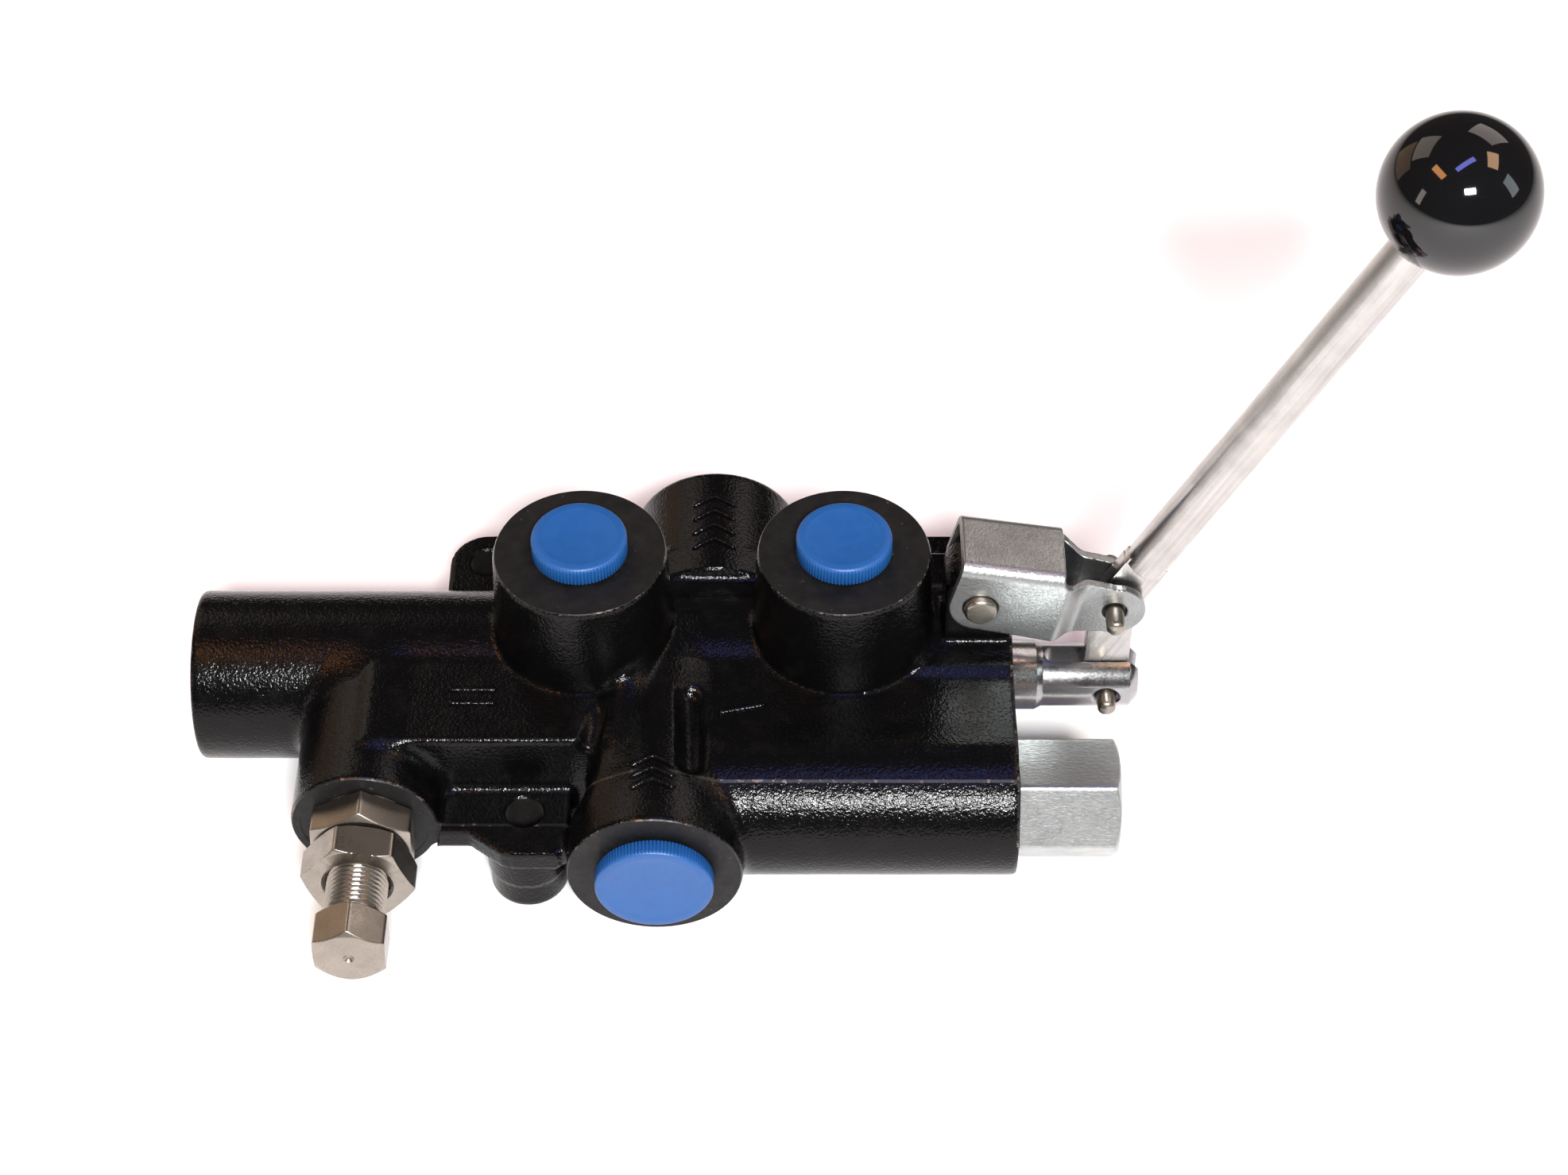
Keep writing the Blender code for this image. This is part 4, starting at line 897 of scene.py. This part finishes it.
def make_springs(spring):
    centring = wound(12.2, 0.9, -143.9, -128.6, 2.6)
    make_spring("centring_spring", centring, (0, 0, 0), "X", spring)
    relief = wound(4.6, 0.8, 40.3, 62.0, 7.5)
    make_spring("relief_spring", relief, (RELIEF_X, 0, 0), "-Y", spring)
    check = wound(6.0, 0.9, 12.3, 79.5, 8.5)
    make_spring("check_spring", check, (0, CHECK_Y, 0), "X", spring)


def dress_hidden(steel, spring, black):
    """Gives the CAD pieces inside the valve their materials."""
    shades = {"steel": steel, "spring": spring, "rubber": black}
    slots = {part["node"]: part["material_slot"] for part in frame["record"]["subparts"]}
    for node, made in frame["nodes"].items():
        if slots[node] in shades:
            made.data.materials.clear()
            made.data.materials.append(shades[slots[node]])


# ---------------------------------------------------------------- materials


class Shader:
    """A material's node tree with short calls. Coordinates are the object's own, in metres."""

    def __init__(self, name):
        self.material = bpy.data.materials.new(name)
        self.material.use_nodes = True
        self.tree = self.material.node_tree
        self.shader = self.tree.nodes["Principled BSDF"]
        self.place = self.tree.nodes.new("ShaderNodeTexCoord").outputs["Object"]

    def node(self, kind, inputs=(), **settings):
        made = self.tree.nodes.new("ShaderNode" + kind)
        for key, value in settings.items():
            setattr(made, key, value)
        for key, value in dict(inputs).items():
            self.link(value, made.inputs[key])
        return made

    def link(self, value, socket):
        if isinstance(value, bpy.types.NodeSocket):
            self.tree.links.new(value, socket)
        else:
            socket.default_value = value

    def set(self, **inputs):
        for key, value in inputs.items():
            self.link(value, self.shader.inputs[key.replace("_", " ")])

    def stretched(self, scale, lean=0.0):
        """Coordinates divided by scale along axes that lean about Y."""
        inputs = {"Vector": self.place, "Rotation": (0.0, lean, 0.0), "Scale": scale}
        return self.node("Mapping", inputs, vector_type="TEXTURE").outputs["Vector"]

    def noise(self, size, detail=3.0, place=None, roughness=0.55):
        """Noise with features of about size millimetres."""
        inputs = {"Vector": place or self.place, "Scale": 1 / (size * MM)}
        inputs.update({"Detail": detail, "Roughness": roughness})
        return self.node("TexNoise", inputs).outputs["Fac"]

    def ramp(self, value, low, high, start=0.0, end=1.0):
        inputs = {"Value": value, "From Min": low, "From Max": high, "To Min": start, "To Max": end}
        return self.node("MapRange", inputs).outputs["Result"]

    def mixed(self, factor, first, second):
        made = self.node("Mix", data_type="RGBA")
        self.link(factor, made.inputs["Factor"])
        self.link((*first, 1.0) if isinstance(first, tuple) else first, made.inputs["A"])
        self.link((*second, 1.0) if isinstance(second, tuple) else second, made.inputs["B"])
        return made.outputs["Result"]

    def sum(self, first, second, operation="ADD"):
        made = self.node("Math", operation=operation)
        self.link(first, made.inputs[0])
        self.link(second, made.inputs[1])
        return made.outputs[0]

    def bump(self, height, depth, normal=None):
        """A bump whose height of 1 is depth millimetres."""
        inputs = {"Height": height, "Distance": depth * MM, "Strength": 1.0}
        if normal:
            inputs["Normal"] = normal
        return self.node("Bump", inputs).outputs["Normal"]


def paint():
    s = Shader("black_cast_paint")
    wide = s.bump(s.noise(3.0, 1.0), 0.04)
    grain = s.bump(s.noise(0.85, 1.0), 0.15, wide)
    s.set(Normal=s.bump(s.noise(0.45, 1.0), 0.06, grain))
    dust = s.ramp(s.noise(7.0, 5.0), 0.52, 0.78)
    s.set(Base_Color=s.mixed(dust, (0.0018, 0.0018, 0.002), (0.004, 0.0037, 0.0035)))
    s.set(Roughness=s.ramp(s.noise(3.0, 3.0), 0.3, 0.7, 0.15, 0.2), IOR=1.26)
    return s.material


def machined_paint():
    s = Shader("black_machined_face")
    specks = s.ramp(s.noise(1.3, 4.0), 0.68, 0.74)
    face = s.mixed(s.ramp(s.noise(5.0, 4.0), 0.4, 0.8), (0.004, 0.004, 0.0042), (0.009, 0.0084, 0.008))
    s.set(Base_Color=s.mixed(specks, face, (0.05, 0.04, 0.034)))
    s.set(Roughness=s.ramp(s.noise(2.0, 3.0), 0.3, 0.7, 0.45, 0.6))
    s.set(Normal=s.bump(s.noise(0.6, 2.0), 0.02))
    s.set(IOR=1.32)
    return s.material


def rim_wear_and_painted_highlight():
    """Paint rubbed through in places at the edge of a machined face; its bright patches are also a painted
    highlight along that edge.
    """
    s = Shader("rim_wear_and_painted_highlight")
    rubbed_and_highlit = s.ramp(s.noise(2.6, 4.0), 0.57, 0.62)
    # the bright colour is iron showing where the paint has rubbed through, and also a painted highlight that the
    # crisp machined edge does not catch
    s.set(Base_Color=s.mixed(rubbed_and_highlit, (0.004, 0.004, 0.004), (0.15, 0.12, 0.10)))
    s.set(Metallic=s.ramp(rubbed_and_highlit, 0.0, 1.0, 0.0, 0.7), Roughness=0.4, Normal=s.bump(s.noise(0.6, 2.0), 0.03))
    return s.material


def metal(
    name, colour, dark, roughness, grain=(1.0, 1.0, 1.0), size=0.5, depth=0.01, tarnish=0.35, lean=0.0
):
    """A bare or plated metal. grain draws the noise out, and lean turns its axes about Y."""
    s = Shader(name)
    streaks = s.noise(size, 3.0, s.stretched(grain, lean))
    cloud = s.noise(7.0, 4.0)
    s.set(Metallic=1.0)
    shade = s.sum(s.ramp(cloud, 0.35, 0.75, 0.0, tarnish), s.ramp(streaks, 0.3, 0.7, 0.0, 0.3))
    s.set(Base_Color=s.mixed(shade, colour, dark))
    spread = s.sum(s.ramp(streaks, 0.2, 0.8, -0.06, 0.08), roughness)
    s.set(Roughness=s.sum(spread, s.ramp(cloud, 0.3, 0.7, -0.03, 0.05)))
    s.set(Normal=s.bump(streaks, depth))
    return s.material


def bore_metal():
    return metal("machined_iron", (0.30, 0.29, 0.27), (0.16, 0.15, 0.14), 0.38, tarnish=0.8)


def rubber():
    s = Shader("black_rubber")
    colour = s.mixed(s.noise(2.0, 3.0), (0.012, 0.012, 0.012), (0.022, 0.021, 0.02))
    s.set(Base_Color=colour, Roughness=0.55)
    s.set(Normal=s.bump(s.noise(0.4, 2.0), 0.01))
    return s.material


def phenolic():
    s = Shader("polished_black_knob")
    scuffs = s.ramp(s.noise(1.2, 5.0, s.stretched((1.0, 4.0, 1.0))), 0.62, 0.75)
    s.set(Base_Color=s.mixed(s.noise(10.0, 2.0), (0.0025, 0.0025, 0.003), (0.004, 0.004, 0.0045)))
    polish = s.ramp(s.noise(6.0, 3.0), 0.3, 0.7, 0.03, 0.06)
    s.set(Roughness=s.sum(s.ramp(scuffs, 0.0, 1.0, 0.0, 0.1), polish))
    s.set(Normal=s.bump(s.noise(9.0, 1.0), 0.01), IOR=1.55)
    return s.material


def blue_plastic():
    s = Shader("blue_polyethylene")
    s.set(Base_Color=s.mixed(s.noise(5.0, 3.0), (0.005, 0.060, 0.21), (0.007, 0.074, 0.25)))
    s.set(Roughness=s.ramp(s.noise(2.0, 3.0), 0.3, 0.7, 0.38, 0.5))
    s.set(Normal=s.bump(s.noise(0.7, 2.0), 0.02))
    s.shader.inputs["Subsurface Weight"].default_value = 0.08
    s.shader.inputs["Subsurface Radius"].default_value = (0.001, 0.002, 0.004)
    return s.material


# ---------------------------------------------------------------- stage


def make_camera():
    data = bpy.data.cameras.new("camera")
    data.lens = 70.25
    data.sensor_width = 36.0
    camera = bpy.data.objects.new("camera", data)
    bpy.context.scene.collection.objects.link(camera)
    camera.location = (Vector((0.0, -572.0, 654.0)) - ORIGIN) * MM
    camera.rotation_euler = (radians(90 - 47.2), 0, 0)
    bpy.context.scene.camera = camera


def area_light(name, at, towards, size, power, colour=(1, 1, 1)):
    data = bpy.data.lights.new(name, "AREA")
    data.shape = "RECTANGLE"
    data.size, data.size_y = size
    data.energy = power
    data.color = colour
    light = bpy.data.objects.new(name, data)
    bpy.context.scene.collection.objects.link(light)
    light.visible_camera = False
    light.location = at
    light.rotation_euler = (Vector(towards) - Vector(at)).to_track_quat("-Z", "Y").to_euler()
    return light


def make_floor():
    data = bpy.data.meshes.new("floor")
    side = 3.0
    corners = [(-side, -side, 0), (side, -side, 0), (side, side, 0), (-side, side, 0)]
    data.from_pydata(corners, [], [(0, 1, 2, 3)])
    floor = bpy.data.objects.new("floor", data)
    bpy.context.scene.collection.objects.link(floor)
    s = Shader("pale_floor")
    s.set(Base_Color=s.mixed(s.noise(60.0, 3.0), (0.90, 0.90, 0.90), (0.93, 0.93, 0.93)), Roughness=0.9)
    s.set(Normal=s.bump(s.noise(1.5, 2.0), 0.02))
    data.materials.append(s.material)


def make_lights():
    world = bpy.data.worlds.new("studio")
    world.use_nodes = True
    world.node_tree.nodes["Background"].inputs["Color"].default_value = (1.0, 0.88, 0.79, 1)
    world.node_tree.nodes["Background"].inputs["Strength"].default_value = 0.07
    bpy.context.scene.world = world
    bpy.context.scene.view_settings.view_transform = "Standard"
    area_light("main", (0.22, -1.70, 1.78), (0, 0, 0.03), (0.60, 0.32), 116.0)
    area_light("violet", (0.10, -0.13, 1.05), (0.02, 0, 0), (0.44, 0.10), 1.5, (0.25, 0.28, 1.0))
    area_light("orange", (-0.48, -0.17, 1.0), (-0.1, 0, 0), (0.40, 0.16), 2.0, (1.0, 0.42, 0.14))
    area_light("tan", (0.62, 0.02, 0.95), (0.06, 0, 0.05), (0.34, 0.22), 1.8, (1.0, 0.60, 0.36))
    area_light("ceiling_left", (-0.85, 1.0, 1.1), (0, 0.2, 0), (0.9, 0.7), 3.0, (1.0, 0.86, 0.74))
    area_light("ceiling_right", (0.78, 1.0, 1.1), (0, 0.2, 0), (0.75, 0.7), 3.4, (1.0, 0.87, 0.82))
    area_light("wall", (-1.25, 1.1, 0.45), (0, 0, 0.03), (1.1, 0.7), 1.8, (1.0, 0.66, 0.42))
    area_light("left", (-1.2, -0.5, 0.5), (0, 0, 0.05), (0.2, 0.5), 1.0, (1.0, 0.9, 0.8))
    area_light("right", (1.2, -0.3, 0.7), (0, 0, 0.05), (0.3, 0.5), 1.4, (0.85, 0.95, 1.0))


def make_pieces():
    zinc = metal("zinc_plate", (0.36, 0.33, 0.285), (0.17, 0.152, 0.13), 0.3, depth=0.008)
    drawn = metal(
        "zinc_plate_drawn", (0.44, 0.455, 0.45), (0.24, 0.25, 0.245), 0.34, (3.0, 1.0, 1.0), 0.5, 0.07
    )
    sheet = metal(
        "zinc_sheet", (0.36, 0.375, 0.37), (0.20, 0.21, 0.205), 0.36, size=0.7, depth=0.10, tarnish=0.3
    )
    rod = metal(
        "zinc_rod", (0.54, 0.53, 0.51), (0.2, 0.19, 0.18), 0.24, (1.0, 1.0, 30.0), 1.2, 0.004, 0.2, ROD_TILT
    )
    steel = metal(
        "ground_steel", (0.40, 0.40, 0.405), (0.22, 0.22, 0.225), 0.2, (1.6, 1.0, 1.0), 0.5, 0.02
    )
    spring = metal("spring_steel", (0.30, 0.30, 0.31), (0.16, 0.16, 0.17), 0.35)
    black = paint()
    make_casting(black)
    make_marks(black)
    make_relief(zinc)
    make_check_plug(drawn)
    make_pins(zinc)
    make_spool(steel)
    make_end_cap(steel)
    make_link(sheet)
    make_lever(rod, phenolic())
    make_plugs(blue_plastic())
    make_springs(spring)
    dress_hidden(steel, spring, rubber())


make_camera()
make_floor()
make_lights()
make_pieces()
